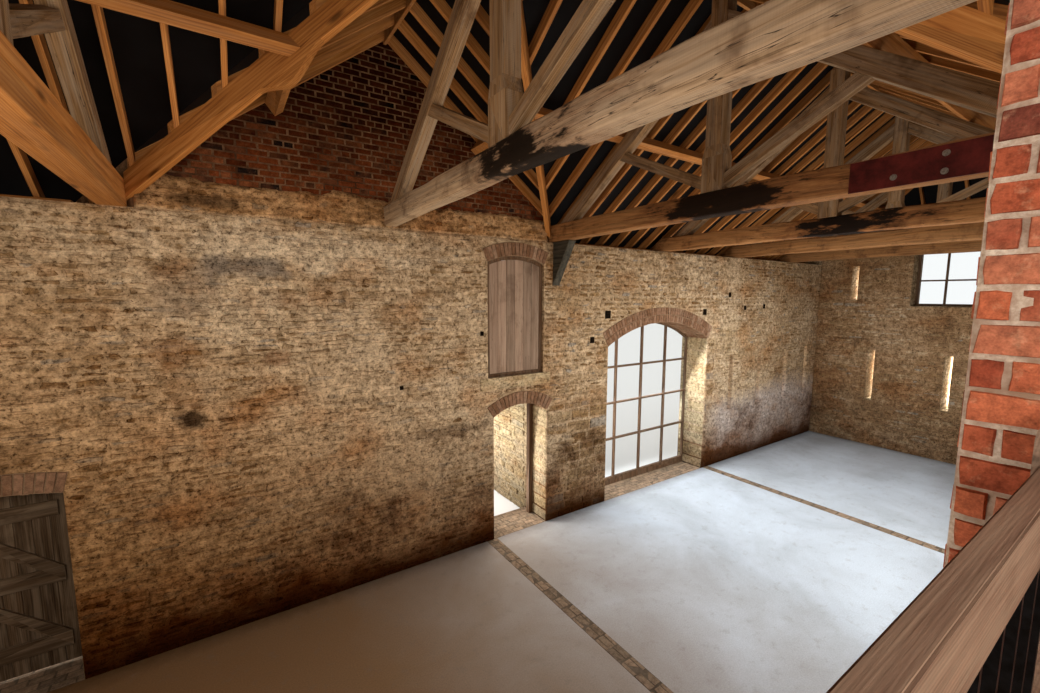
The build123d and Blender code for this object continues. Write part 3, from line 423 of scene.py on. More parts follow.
def floor_finish():
    """Trowelled screed, pale grey to the east and browner and darker to the west (partly its own tone, partly
    painted shade), darker along the foot of the north and east walls, with wear and a few stains.
    """
    made = Finish("screed", 0.62)
    clouds = made.noise(0.55, 5, 0.6, twist=0.4)
    spots = made.noise(7, 4, 0.7)
    made.colour = made.ramp(clouds, ((158, 162, 166), (178, 184, 190), (194, 202, 210)), (0.3, 0.5, 0.72))
    # Browner and darker to the west: partly the screed's own tone, partly painted shade where less daylight
    # reaches.
    made.paint(made.range(made.blend((made.x, 1), (clouds, 2.5)), 0.2, 5.8, 0.95, 0.0), (150, 122, 90))
    made.stain(made.range(made.x, 2.0, -4.0, 0.0, 0.8), (222, 196, 160))
    made.paint(made.range(spots, 0.56, 0.74, 0.0, 0.35), (128, 118, 110))
    made.shade(made.range(made.noise(60, 2, 0.7), 0.3, 0.7, 0.88, 1.12))
    edge = made.maths("MINIMUM", made.maths("SUBTRACT", NORTH_IN, made.y),
                      made.maths("SUBTRACT", HALF_LENGTH, made.x))
    made.stain(made.range(made.blend((edge, 1), (spots, 0.25)), 0.1, 0.4, 0.6, 0.0), (104, 84, 64))
    return made.finish(made.bump(spots, 0.25, 0.0015), made.range(clouds, 0.3, 0.7, 0.7, 0.5))


def roof_finish():
    """Fired clay outside and above, black membrane on the underside."""
    made = Finish("roof_deck", 0.8)
    facing = made.add("NewGeometry").outputs["Normal"]
    under = made.maths("LESS_THAN", made.add("SeparateXYZ", {"Vector": facing}).outputs[2], -0.1)
    made.colour = made.ramp(made.noise(3, 5, 0.6), ((128, 72, 48), (168, 98, 66)), (0.35, 0.65))
    made.paint(under, made.ramp(made.noise(2, 4, 0.6), ((8, 7, 7), (18, 17, 18)), (0.35, 0.7)))
    return made.finish(made.bump(made.noise(1.4, 3, 0.5), 0.5, 0.02))


def glass_finish():
    made = Finish("window_glass", 0.03)
    made.colour = (0.94, 0.97, 0.97, 1)
    made.set("Transmission Weight", 1.0)
    made.set("IOR", 1.1)
    made.set("Specular IOR Level", 0.5)
    dust = made.noise(3, 4, 0.6)
    return made.finish(made.bump(dust, 0.05, 0.001), made.range(dust, 0.3, 0.7, 0.02, 0.09))


STONES = ((96, 72, 48), (136, 108, 74), (150, 124, 92), (118, 88, 56), (160, 136, 104), (142, 112, 76),
          (148, 136, 120))
OUTER_STONES = ((118, 98, 70), (156, 132, 98), (174, 152, 116), (190, 170, 136), (150, 120, 80),
                (150, 142, 128))
DRESSED = ((160, 138, 104), (184, 164, 128), (172, 158, 132))
MORTARS = ((112, 90, 64), (150, 128, 98))
LIMES = ((122, 96, 68), (168, 142, 110), (190, 168, 138))
# The end walls' lime is darker and browner than the north wall's: partly a tone of its own, partly painted
# shade for the dimmer far end.
END_LIMES_BROWN_AND_SHADED = ((112, 86, 60), (146, 116, 84), (158, 130, 98))
LIME, END_LIME_BROWN_AND_SHADED = (194, 172, 142), (168, 142, 112)
OLD_BRICKS = ((58, 28, 16), (106, 52, 28), (130, 68, 38), (78, 38, 22), (146, 86, 52), (44, 34, 30))
ARCH_BRICKS = ((112, 80, 58), (132, 98, 74), (148, 114, 90), (122, 88, 64), (156, 126, 102))
PIER_BRICKS = ((124, 60, 44), (162, 84, 58), (188, 106, 74), (144, 70, 50), (182, 112, 84), (112, 60, 48))
PAVERS = ((104, 90, 76), (132, 112, 92), (146, 122, 100), (116, 98, 80))
TILES = ((120, 60, 38), (158, 84, 54), (176, 98, 62), (142, 78, 54), (110, 72, 54))
# Timber colours: light, middle and dark
OAK = ((176, 140, 100), (138, 104, 68), (92, 64, 38))
TIE_OAK = ((216, 186, 152), (186, 156, 122), (128, 100, 72))
BRACKET_OAK = ((78, 76, 64), (56, 54, 46), (34, 32, 28))
PINE = ((206, 146, 84), (180, 116, 56), (136, 80, 34))
RAIL_PINE = ((146, 118, 98), (124, 98, 82), (98, 76, 62))
DOOR_WOOD = ((112, 92, 72), (88, 70, 52), (54, 42, 31))
LOFT_WOOD = ((176, 150, 130), (150, 124, 104), (108, 84, 68))
FRAME_WOOD = ((118, 88, 62), (88, 62, 42), (56, 38, 26))
# Charred lengths of the ties: the tie's x, the middle and half length of the black, and its strength
CHARRED = ((0.0, 0.2, 0.45, 0.97), (2.94, 0.35, 0.5, 0.95), (5.95, 0.25, 0.45, 0.97))

finishes = {
    "stone": stone_finish("stone_rubble", STONES, LIME, 0.45),
    "stone_north": stone_finish("stone_north", STONES, LIME, 0.45, north=True),
    "lime_north": stone_finish("lime_north", LIMES, LIME, 0.6, False, 0.014, north=True),
    "lime": stone_finish("lime_skin", END_LIMES_BROWN_AND_SHADED, END_LIME_BROWN_AND_SHADED, 0.5, False, 0.014),
    "stone_outer": stone_finish("stone_outside", OUTER_STONES, LIME, 0.0),
    "dressed": stone_finish("stone_dressed", DRESSED, LIME, 0.3, True, 0.006),
    "mortar": stone_finish("lime_mortar", MORTARS, LIME, 0.45, False, 0.02),
    "brick": brick_finish("brick_old", OLD_BRICKS, (166, 130, 94), 0.45, 0.35, soot_and_shade=0.95),
    "brick_arch": brick_finish("brick_arch", ARCH_BRICKS, (172, 146, 118), 0.6, 0.2),
    "brick_pier": brick_finish("brick_bright", PIER_BRICKS, (208, 170, 138), 0.55, 0.12, 2.5),
    "paver": brick_finish("brick_paver", PAVERS, (156, 144, 130), 0.5),
    "tile": brick_finish("roof_tile", TILES, (120, 116, 84), 0.35, 0.35),
    "joint": mortar_finish("brick_joint", (212, 196, 178), (150, 122, 102), 3.0),
    "joint_floor": mortar_finish("floor_joint", (122, 108, 92), (82, 70, 58)),
    "joint_arch": mortar_finish("brick_joint_arch", (166, 140, 112), (122, 98, 74)),
    "joint_dark": mortar_finish("brick_joint_old", (130, 98, 70), (70, 46, 30)),
    "oak_y": wood_finish("oak_tie", "y", TIE_OAK, 0.3, 0.6, 0.25, 0.004, CHARRED, 0.9),
    "oak_dark": wood_finish("oak_bracket", "y", BRACKET_OAK, 0.3, 0.1, 0.3),
    "oak_z": wood_finish("oak_post", "z", OAK, 0.3, 0.5, 0.5, 0.003, cracks=0.8),
    "oak_main": wood_finish("oak_principal", "main", OAK, 0.3, 0.55, 0.6, 0.003, cracks=0.8),
    "oak_strut": wood_finish("oak_strut", "strut", OAK, 0.3, 0.5, 0.7, 0.003, cracks=0.6),
    "pine_valley": wood_finish("pine_valley", "valley", PINE, 0.8, depth=0.0015),
    "pine_hip": wood_finish("pine_hip", "hip", PINE, 0.7, 0.0, 0.2),
    "pine_main": wood_finish("pine_rafter", "main", PINE, 0.7, 0.1, 0.1),
    "pine_cross": wood_finish("pine_cross_rafter", "cross", PINE, 0.7, 0.1, 0.1),
    "pine_short": wood_finish("pine_short_rafter", "hip_short", PINE, 0.7, 0.0, 0.1),
    "pine_x": wood_finish("pine_along", "x", PINE, 0.7, 0.15, 0.1),
    "pine_y": wood_finish("pine_across", "y", PINE, 0.7, 0.1, 0.1),
    "rail": wood_finish("rail_pine", "x", RAIL_PINE, 0.6, 0.2, depth=0.001, fine=3.0),
    "door": wood_finish("door_boards", "z", DOOR_WOOD, 0.5, 0.35),
    "door_rail": wood_finish("door_ledges", "x", DOOR_WOOD, 0.5, 0.35),
    "loft": wood_finish("loft_boards", "z", LOFT_WOOD, 0.6, 0.3, cracks=0.5),
    "joinery": wood_finish("frame_wood", "z", FRAME_WOOD, 0.3, 0.2),
    "screed": floor_finish(),
    "roof": roof_finish(),
    # Near-black finish for the backs of the putlog holes: painted shade for their depth.
    "soot": plain_finish("hole_painted_shade", (34, 26, 19), (12, 9, 7), 30, 0.95, 0.004),
    "iron": plain_finish("black_iron", (34, 34, 36), (20, 19, 19), 60, 0.5, 0.0006, 0.6),
    "paint": plain_finish("maroon_paint", (96, 36, 32), (58, 20, 20), 9, 0.4, 0.0008),
    "bolt": plain_finish("zinc_bolt", (190, 186, 178), (130, 124, 116), 80, 0.4, 0.0004, 0.7),
    "glass": glass_finish(),
}

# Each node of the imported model: its finish, and how far its edges are rounded
DRESS = """
lime_north 0      north_wall walls_over_openings
mortar 0          south_wall wing_side_walls wing_end_wall end_walls
dressed 0         yard_wall
dressed 0.008     loft_door_sill
joint_dark 0      brick_gables
joint_arch 0      brick_arches
joint 0           brick_pier
joint_floor 0     floor_brick_strips thresholds
screed 0          floor_slabs wing_floor
oak_y 0           oak_tie_beams
oak_z 0.006       king_posts
oak_main 0.006    principal_rafters
oak_strut 0.005   truss_struts
oak_dark 0.008    knee_bracket
pine_y 0.006      pine_tie_beam
pine_y 0.003      gallery_joists
pine_x 0.004      wall_plates ridge_boards purlins gallery_beams
pine_x 0          gallery_boards
pine_valley 0.003 valley_beams
pine_main 0.002   main_rafters
pine_cross 0.002  cross_rafters
pine_hip 0.003    hip_rafters
pine_short 0.002  hip_short_rafters
rail 0.005        gallery_handrails
iron 0.001        gallery_balusters
iron 0.0005       plank_door_straps plank_door_pins
paint 0.001       steel_plate
roof 0            main_roof_north main_roof_south cross_roof_east cross_roof_west half_hip_roofs
tile 0            ridge_tiles
door 0.002        plank_door_boards
door_rail 0.003   plank_door_ledges
loft 0.002        loft_door
joinery 0.003     door_frames cart_screens end_window_frames
glass 0           cart_glass end_window_glass
"""


def dress(name, finish, round_edge):
    """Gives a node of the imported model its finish, and its edges a small round."""
    shape = nodes[name]
    slots = shape.data.materials
    if not slots:
        slots.append(finish)
    for index in range(len(slots)):
        slots[index] = finish
    if round_edge:
        weld = shape.modifiers.new("weld", "WELD")
        weld.merge_threshold = 0.0002
        edge = shape.modifiers.new("edge", "BEVEL")
        edge.width, edge.segments = round_edge, 2
        edge.limit_method, edge.angle_limit = "ANGLE", radians(35)


for line in DRESS.split("\n")[1:-1]:
    finish_name, edge_width, *names = line.split()
    for node_name in names:
        dress(node_name, finishes[finish_name], float(edge_width))


# Meshes
class Mesh:
    """Points and faces of one piece, collected before it is made."""

    def __init__(self, name, finish, slot, body="barn", smooth=False):
        self.name, self.finish, self.slot, self.body, self.smooth = name, finish, slot, body, smooth
        self.points, self.faces = [], []

    def add(self, points, faces, flip=False):
        start = len(self.points)
        self.points.extend(points)
        for face in faces:
            face = tuple(start + index for index in face)
            self.faces.append(face[::-1] if flip else face)

    def prism(self, outline, low, high):
        """A closed solid: outline is its (x, y) corners, low and high give its ends' heights at x."""
        count = len(outline)
        points = [(x, y, low(x)) for x, y in outline] + [(x, y, high(x)) for x, y in outline]
        self.add(points, belt(count) + [tuple(range(count))[::-1], tuple(range(count, 2 * count))])

    def make(self, *replaced):
        data = bpy.data.meshes.new(self.name)
        data.from_pydata(self.points, [], self.faces)
        data.materials.append(finishes[self.finish])
        if self.smooth:
            data.shade_smooth()
        piece = bpy.data.objects.new(self.name, data)
        bpy.context.scene.collection.objects.link(piece)
        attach(piece, self.body)
        if replaced:
            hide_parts(*replaced)


def belt(count, back=False):
    """The faces between a ring of points and the ring after it, turned over if they look back."""
    faces = [(i, (i + 1) % count, count + (i + 1) % count, count + i) for i in range(count)]
    return [(a, d, c, b) for a, b, c, d in faces] if back else faces


class Face:
    """A flat face: axis is the way along it, level its place and out the way it looks.

    Axis x and y give upright faces, and axis z a level one, whose second direction is y.
    """

    def __init__(self, axis, level, out, low, high, bottom, top, holes=(), edge=None):
        self.axis, self.level, self.out = axis, level, out
        self.low, self.high, self.bottom, self.top = low, high, bottom, top
        self.holes, self.edge = holes, edge
        self.flip = (out > 0) == (axis == "x")

    def point(self, along, z, lift):
        place = self.level + self.out * lift
        if self.axis == "x":
            return (along, place, z)
        return (place, along, z) if self.axis == "y" else (along, z, place)

    def limits(self, z):
        if self.edge is None:
            return self.low, self.high
        low, high = self.edge(z)
        return max(self.low, low), min(self.high, high)

    def spans(self, z0, z1):
        """The lengths that are whole between two heights."""
        levels = [z0 + (z1 - z0) * step / 4 for step in range(5)]
        spans = [(max(self.limits(z)[0] for z in levels), min(self.limits(z)[1] for z in levels))]
        for hole in self.holes:
            blocked = [pair for pair in map(hole, levels) if pair]
            if not blocked:
                continue
            start, end = min(pair[0] for pair in blocked), max(pair[1] for pair in blocked)
            rest = []
            for a, b in spans:
                if end <= a or start >= b:
                    rest.append((a, b))
                    continue
                if start > a:
                    rest.append((a, start))
                if end < b:
                    rest.append((end, b))
            spans = rest
        return [(a, b) for a, b in spans if b - a > 0.03]


def rectangle(start, end, bottom, top):
    return lambda z: (start, end) if bottom < z < top else None


def arch_parts(width, rise):
    radius = (width * width / 4 + rise * rise) / (2 * rise)
    return radius, asin(width / 2 / radius)


def arched(head, shift=0.0):
    """An opening with its brick ring, as a blocked length at a height."""
    start, width, bottom, spring, rise, ring = head
    radius, angle = arch_parts(width, rise)
    middle = start + width / 2 + shift
    centre = spring + rise - radius
    far = radius + ring
    corner = centre + far * cos(angle)

    def blocked(z):
        if z <= bottom or z >= centre + far:
            return None
        if z <= spring:
            half = width / 2
        elif z < corner:
            half = (radius + ring * (z - spring) / (corner - spring)) * sin(angle)
        else:
            half = sqrt(max(0.0, far * far - (z - centre) ** 2))
        return (middle - half, middle + half)
    return blocked


class Soffit(Face):
    """The underside of a segmental head: the way round it, then the way into the wall."""

    def __init__(self, head, near, far):
        start, width, bottom, spring, rise, ring = head
        self.radius, self.angle = arch_parts(width, rise)
        self.middle, self.centre = start + width / 2, spring + rise - self.radius
        super().__init__("z", 0.0, -1, 0.0, 2 * self.angle * self.radius, near, far)

    def point(self, along, z, lift):
        turn = along / self.radius - self.angle
        away = self.radius - lift
        return (self.middle + away * sin(turn), z, self.centre + away * cos(turn))


def block(mesh, face, corners, low, high, inset, rng, tilt=0.3):
    """A stone or brick on a face: corners run round its foot, and its top is drawn in by the inset."""
    count = len(corners)
    middle_u = sum(u for u, z in corners) / count
    middle_z = sum(z for u, z in corners) / count
    lean_u, lean_z = rng.uniform(-tilt, tilt), rng.uniform(-tilt, tilt)
    span = max(abs(u - middle_u) for u, z in corners)
    points = [face.point(u, z, low) for u, z in corners]
    for u, z in corners:
        du, dz = middle_u - u, middle_z - z
        size = max(sqrt(du * du + dz * dz), 1e-6)
        step = min(inset, size * 0.7)
        u1, z1 = u + du / size * step * 1.2, z + dz / size * step * 0.9
        rise = (high - low) * (lean_u * (u1 - middle_u) / span + lean_z * (z1 - middle_z) / span)
        points.append(face.point(u1, z1, high + rise))
    mesh.add(points, belt(count) + [tuple(range(count, 2 * count))], face.flip)


def stone_corners(u0, u1, z0, z1, rng, rough, count):
    """A rough outline for a stone, with 4 or 8 corners."""
    du, dz = rough * min(u1 - u0, 0.3) * 0.25, rough * (z1 - z0) * 0.5
    um, zm = (u0 + u1) / 2, (z0 + z1) / 2
    places = [(u0, z0, 1, 1), (um, z0, 0, 0.5), (u1, z0, -1, 1), (u1, zm, -0.5, 0),
              (u1, z1, -1, -1), (um, z1, 0, -0.5), (u0, z1, 1, -1), (u0, zm, 0.5, 0)]
    return [(u + su * rng.uniform(0, du), z + sz * rng.uniform(0, dz))
            for u, z, su, sz in places[::8 // count]]


def lay_stones(mesh, face, seed, heights=(0.07, 0.13), lengths=(0.14, 0.46), joint=0.014,
               proud=(0.003, 0.018), corners=4, split=0.3, rough=0.6, wave=0.02):
    """Rubble in rough courses over a face, round its openings."""
    rng = Random(seed)
    z = face.bottom
    while z < face.top - 0.03:
        height = rng.uniform(*heights)
        if face.top - z - height < heights[0] * 0.7:
            height = face.top - z
        for start, end in face.spans(z + 0.002, z + height - 0.002):
            u = start
            while u < end - 0.02:
                length = rng.uniform(*lengths) * (0.7 + height * 4)
                if end - u - length < lengths[0] * 0.8:
                    length = end - u
                rows = [(z, z + height)]
                if rng.random() < split and height > 0.09:
                    cut = z + height * rng.uniform(0.4, 0.6)
                    rows = [(z, cut), (cut, z + height)]
                for low, high in rows:
                    fade = max(0.0, min(1.0, (low - face.bottom) * 4, (face.top - high) * 4))
                    shape = stone_corners(u + joint / 2, u + length - joint / 2, low + joint / 2,
                                          high - joint / 2, rng, rough, corners)
                    shape = [(a, b + fade * wave * noise.noise(Vector((a * 0.7, b * 0.7, seed))))
                             for a, b in shape]
                    block(mesh, face, shape, -0.004, rng.uniform(*proud), 0.012, rng)
                u += length
        z += height


def make_stones(name, finish, faces, **way):
    """One piece of stones, from its faces and their seeds."""
    mesh = Mesh(name, finish, "stone")
    for seed, face in faces:
        lay_stones(mesh, face, seed, **way)
    mesh.make()


def lay_lime(mesh, face, cell, cover):
    """A rough skin of lime over a face, thin at its edges: cover gives its thickness at a place."""
    found = {}

    def corner(u, z, edge):
        key = (round(u, 3), round(z, 3))
        if key not in found:
            found[key] = len(mesh.points)
            mesh.points.append(face.point(u, z, -0.002 if edge else cover(u, z)))
        return found[key]

    rows = round((face.top - face.bottom) / cell)
    height = (face.top - face.bottom) / rows
    for row in range(rows):
        z0, z1 = face.bottom + row * height, face.bottom + (row + 1) * height
        first, last = row == 0, row == rows - 1
        for low, high in face.spans(z0, z1):
            between = [cell * step for step in range(ceil(low / cell + 0.3), int(high // cell) + 1)]
            places = [low] + [u for u in between if u < high - 0.3 * cell] + [high]
            for index, (a, b) in enumerate(zip(places, places[1:])):
                west, east = index == 0, index == len(places) - 2
                quad = (corner(a, z0, west or first), corner(b, z0, east or first),
                        corner(b, z1, east or last), corner(a, z1, west or last))
                mesh.faces.append(quad[::-1] if face.flip else quad)


def lay_bricks(mesh, face, seed, joint=0.011, proud=0.005, course=0.075, length=0.225, start=0.0,
               header_every=0, rough=0.08, corners=4, bond=0.5):
    """Brick courses over a face, each course a share of a brick on from the last."""
    rng = Random(seed)
    row = 0
    z = face.bottom
    while z < face.top - 0.02:
        height = min(course, face.top - z)
        headers = header_every and row % header_every == 1
        size = length / 2 if headers else length
        for low, high in face.spans(z + 0.002, z + height - 0.002):
            first = start + (size * bond if row % 2 else 0.0)
            u = first + size * int((low - first) // size)
            while u < high:
                a, b = max(u, low), min(u + size, high)
                if b - a > 0.03:
                    shape = stone_corners(a + joint / 2, b - joint / 2, z + joint / 2,
                                          z + height - joint / 2, rng, rough, corners)
                    block(mesh, face, shape, -0.003, proud + rng.uniform(-0.002, 0.002), 0.004, rng, 0.25)
                u += size
        z += height
        row += 1


def lay_ring(mesh, face, head, rows, seed, shift=0.0, joint=0.011, proud=0.012):
    """The bricks of an arch, on end round its curve."""
    rng = Random(seed)
    start, width, bottom, spring, rise, ring = head
    radius, angle = arch_parts(width, rise)
    middle, centre = start + width / 2 + shift, spring + rise - radius
    for row in range(rows):
        near = radius + ring * row / rows + joint / 2
        far = radius + ring * (row + 1) / rows - joint / 2
        count = max(3, round(2 * angle * (near + far) / 2 / 0.076))
        step = 2 * angle / count
        for index in range(count):
            a = -angle + index * step + joint / 2 / near
            b = -angle + (index + 1) * step - joint / 2 / near
            shape = [(middle + r * sin(t), centre + r * cos(t))
                     for r, t in ((near, a), (near, b), (far, b), (far, a))]
            block(mesh, face, shape, -0.003, proud + rng.uniform(-0.004, 0.004), 0.004, rng, 0.25)


def main_edge(lift):
    def limits(z):
        reach = (MAIN_PEAK + lift - z) / MAIN_SLOPE
        return RIDGE_Y - reach, RIDGE_Y + reach
    return limits


def cross_edge(lift):
    def limits(z):
        reach = (CROSS_PEAK + lift - z) / CROSS_SLOPE
        return -reach, reach
    return limits


# Walls
def slit_holes(places, half, heights, shift=0.0):
    return [rectangle(shift + place - half, shift + place + half, *heights) for place in places]


both_slits = [sign * x for x in SLITS for sign in (-1, 1)]
long_holes = [arched(CART)] + slit_holes(both_slits, SLIT_HALF, SLIT_HEIGHTS)
long_holes_out = [arched(CART)] + slit_holes(both_slits, SLIT_HALF_OUT, SLIT_HEIGHTS)
north_holes = [arched(DOOR), arched(DOORWAY), arched(LOFT), rectangle(*LOFT_SILL)]
putlog_holes = [rectangle(x - half, x + half, z - half, z + half) for x, z, half in PUTLOGS]
end_holes = [arched(END_WINDOW, RIDGE_Y)] + slit_holes(END_SLITS, SLIT_HALF, SLIT_HEIGHTS, RIDGE_Y)
end_holes += slit_holes((-UPPER_SLIT, UPPER_SLIT), SLIT_HALF, UPPER_SLIT_HEIGHTS, RIDGE_Y)
wing_holes = [arched(WING_DOOR), arched(WING_WINDOW)]
# The squared stones between the doorway and the cart opening, and beside the cart opening
SQUARED = ((2.77, 4.27, FLOOR_TOP, 2.3), (7.52, 7.84, FLOOR_TOP, 3.3))
HALF_BURIED = (-6.5, 7.84)
OUTSIDE = dict(heights=(0.09, 0.17), lengths=(0.18, 0.5), joint=0.016, proud=(0.006, 0.024), rough=0.5)


def rough_noise(*place):
    return noise.noise(Vector(place))


def lime_cover(u, z, seed=3.0):
    """How thick the lime lies: long streaks, lumps and broad patches."""
    return (0.0095 + 0.008 * rough_noise(u * 3.1, z * 11, seed) + 0.006 * rough_noise(u * 9, z * 15, seed + 5)
            + 0.014 * rough_noise(u * 0.55, z * 0.9, seed + 9))


def north_cover(u, z):
    thick = lime_cover(u, z)
    if z < 1.1:
        thick -= 0.006 * (1.1 - z)
    if u > 7.6 and z < 2.0:
        thick += 0.012 * min(1, (2.0 - z) * 4)
    for x0, x1, z0, z1 in SQUARED:
        if x0 < u < x1 and z0 < z < z1:
            thick -= 0.006
    return thick


def ledge_cover(u, z):
    top = LEDGE_TOP + 0.03 + 0.12 * rough_noise(u * 0.9, 3.0, 7.0) + 0.05 * rough_noise(u * 5, 1.0, 4.0)
    lumps = 0.03 * rough_noise(u * 5, z * 12, 2.0) + 0.02 * rough_noise(u * 17, z * 20, 5.0)
    return 0.038 + lumps - max(0.0, z - top + 0.05) * 0.9


def make_north_wall():
    """Rubble half buried in lime, squared stones by the openings and the ragged ledge under the gable."""
    holes = long_holes + north_holes + putlog_holes

    def inside(*ends, holes=holes):
        return Face("x", NORTH_IN, -1, *ends, holes)
    mesh = Mesh("stones_north_inside", "stone_north", "stone")
    zones = [rectangle(*zone) for zone in SQUARED]
    lay_stones(mesh, inside(*HALF_BURIED, FLOOR_TOP, WALL_TOP, holes=holes + zones), 11, (0.06, 0.115),
               (0.12, 0.34), 0.014, (0.006, 0.026), 8, 0.1, 0.9, 0.03)
    for index, zone in enumerate(SQUARED):
        lay_stones(mesh, inside(*zone, holes=[arched(CART), arched(DOORWAY)]), 31 + index,
                   (0.14, 0.25), (0.2, 0.36), 0.014, (0.006, 0.016), 8, 0.0, 0.25, 0.0)
    lay_stones(mesh, Face("x", GABLE_Y, -1, -GABLE_X, GABLE_X, WALL_TOP, LEDGE_TOP), 35, (0.06, 0.1),
               (0.1, 0.3), 0.012, (0.028, 0.062), 8, 0.0, 0.9, 0.0)
    mesh.make()

    mesh = Mesh("lime_north_inside", "lime_north", "stone", smooth=True)
    lay_lime(mesh, inside(*HALF_BURIED, FLOOR_TOP, WALL_TOP), 0.028, north_cover)
    ledge = Face("x", GABLE_Y, -1, -GABLE_X, GABLE_X, WALL_TOP - 0.01, LEDGE_TOP + 0.17)
    lay_lime(mesh, ledge, 0.028, ledge_cover)
    mesh.make()

    mesh = Mesh("stones_north_ends", "stone_north", "stone")
    lime = Mesh("lime_north_ends", "lime_north", "stone", smooth=True)
    for index, ends in enumerate(((-HALF_LENGTH, HALF_BURIED[0]), (HALF_BURIED[1], HALF_LENGTH))):
        face = inside(*ends, FLOOR_TOP, WALL_TOP)
        lay_stones(mesh, face, 12 + index, (0.055, 0.11), (0.12, 0.38), 0.012, (0.003, 0.018), 8, 0.2, 0.8,
                   0.03)
        lay_lime(lime, face, 0.04, north_cover)
    mesh.make()
    lime.make()

    # A near-black square at the back of each hole: painted shade for its depth, as the wall behind is flat.
    mesh = Mesh("putlog_holes", "soot", "stone")
    for x, z, half in PUTLOGS:
        size = half * 1.2
        mesh.add([(x + a * size, NORTH_IN - 0.001, z + b * size)
                  for a, b in ((-1, -1), (1, -1), (1, 1), (-1, 1))], [(0, 1, 2, 3)])
    mesh.make()


def make_stone_walls():
    make_stones("stones_south_inside", "stone", [
        (15 + index, Face("x", SOUTH_IN, 1, *ends, FLOOR_TOP, WALL_TOP, long_holes))
        for index, ends in enumerate(((-HALF_LENGTH, -GABLE_X), (GABLE_X, HALF_LENGTH)))])

    ends = {side: Face("y", side * HALF_LENGTH, -side, SOUTH_IN, NORTH_IN, FLOOR_TOP, HIP_WALL_TOP, end_holes,
                       main_edge(0.0)) for side in (1, -1)}
    make_stones("stones_ends_inside", "stone", [(18 + side, face) for side, face in ends.items()], corners=8)
    lime = Mesh("lime_ends_inside", "lime", "stone", smooth=True)
    for face in ends.values():
        lay_lime(lime, face, 0.045, lambda u, z: lime_cover(u, z, 12.0) + 0.003)
    lime.make()

    beam_end = rectangle(WING_IN, SOUTH_IN - 0.1, 2.6, 2.9)
    joist_ends = rectangle(-GABLE_X, GABLE_X, 2.69, 2.9)
    make_stones("stones_wing_inside", "stone", [
        (21 + side, Face("y", side * GABLE_X, -side, WING_IN, SOUTH_IN, FLOOR_TOP, WALL_TOP, [beam_end]))
        for side in (1, -1)] + [
        (23, Face("x", WING_IN, 1, -GABLE_X, GABLE_X, FLOOR_TOP, WALL_TOP, wing_holes + [joist_ends]))])

    yard_end = rectangle(2.76, 3.23, 0, YARD_TOP)
    make_stones("stones_north_outside", "stone_outer", [
        (24, Face("x", NORTH_OUT, 1, -OUTER_X, OUTER_X, 0.0, OUTER_TOP,
                  long_holes_out + north_holes + [yard_end]))], **OUTSIDE)
    make_stones("stones_south_outside", "stone_outer", [
        (25, Face("x", SOUTH_OUT, -1, *ends, 0.0, OUTER_TOP, long_holes_out))
        for ends in ((-OUTER_X, -WING_X), (WING_X, OUTER_X))], **OUTSIDE)
    make_stones("stones_ends_outside", "stone_outer", [
        (27 + side, Face("y", side * OUTER_X, side, SOUTH_OUT, NORTH_OUT, 0.0, OUTER_END_TOP, end_holes,
                         main_edge(COVER_OUT))) for side in (1, -1)], **OUTSIDE)
    make_stones("stones_wing_outside", "stone_outer", [
        (30 + side, Face("y", side * WING_X, side, WING_OUT, SOUTH_OUT, 0.0, OUTER_WING_TOP))
        for side in (1, -1)] + [
        (32, Face("x", WING_OUT, -1, -WING_X, WING_X, 0.0, WALL_TOP, wing_holes))], **OUTSIDE)
    make_stones("stones_yard_wall", "dressed", [
        (34 + out, Face("y", level, out, NORTH_OUT, NORTH_OUT + YARD_LENGTH, 0.0, YARD_TOP))
        for level, out in zip(YARD_FACES, (-1, 1))], **OUTSIDE)


def make_reveals():
    """Dressed stones on the jambs of the openings, and bricks under their heads."""
    mesh = Mesh("stones_reveals", "dressed", "stone")
    bricks = Mesh("bricks_soffits", "brick_arch", "brick")
    for index, (head, near, far) in enumerate((
            (CART, NORTH_IN, NORTH_OUT), (CART, SOUTH_OUT, SOUTH_IN), (DOORWAY, NORTH_IN, NORTH_OUT),
            (DOOR, NORTH_IN, NORTH_IN + 0.35), (WING_DOOR, WING_OUT, WING_IN),
            (WING_WINDOW, WING_OUT, WING_IN))):
        start, width, bottom, spring, rise, ring = head
        low = max(bottom, FLOOR_TOP)
        for jamb, out in ((start, 1), (start + width, -1)):
            lay_stones(mesh, Face("y", jamb, out, near, far, low, spring), 80 + index, (0.18, 0.34),
                       (0.24, 0.4), 0.012, (0.002, 0.008), 8, 0.0, 0.15, 0.0)
        lay_bricks(bricks, Soffit(head, near, far), 90 + index, course=0.225, length=0.076, proud=0.004,
                   bond=0.0)
    mesh.make()
    bricks.make()


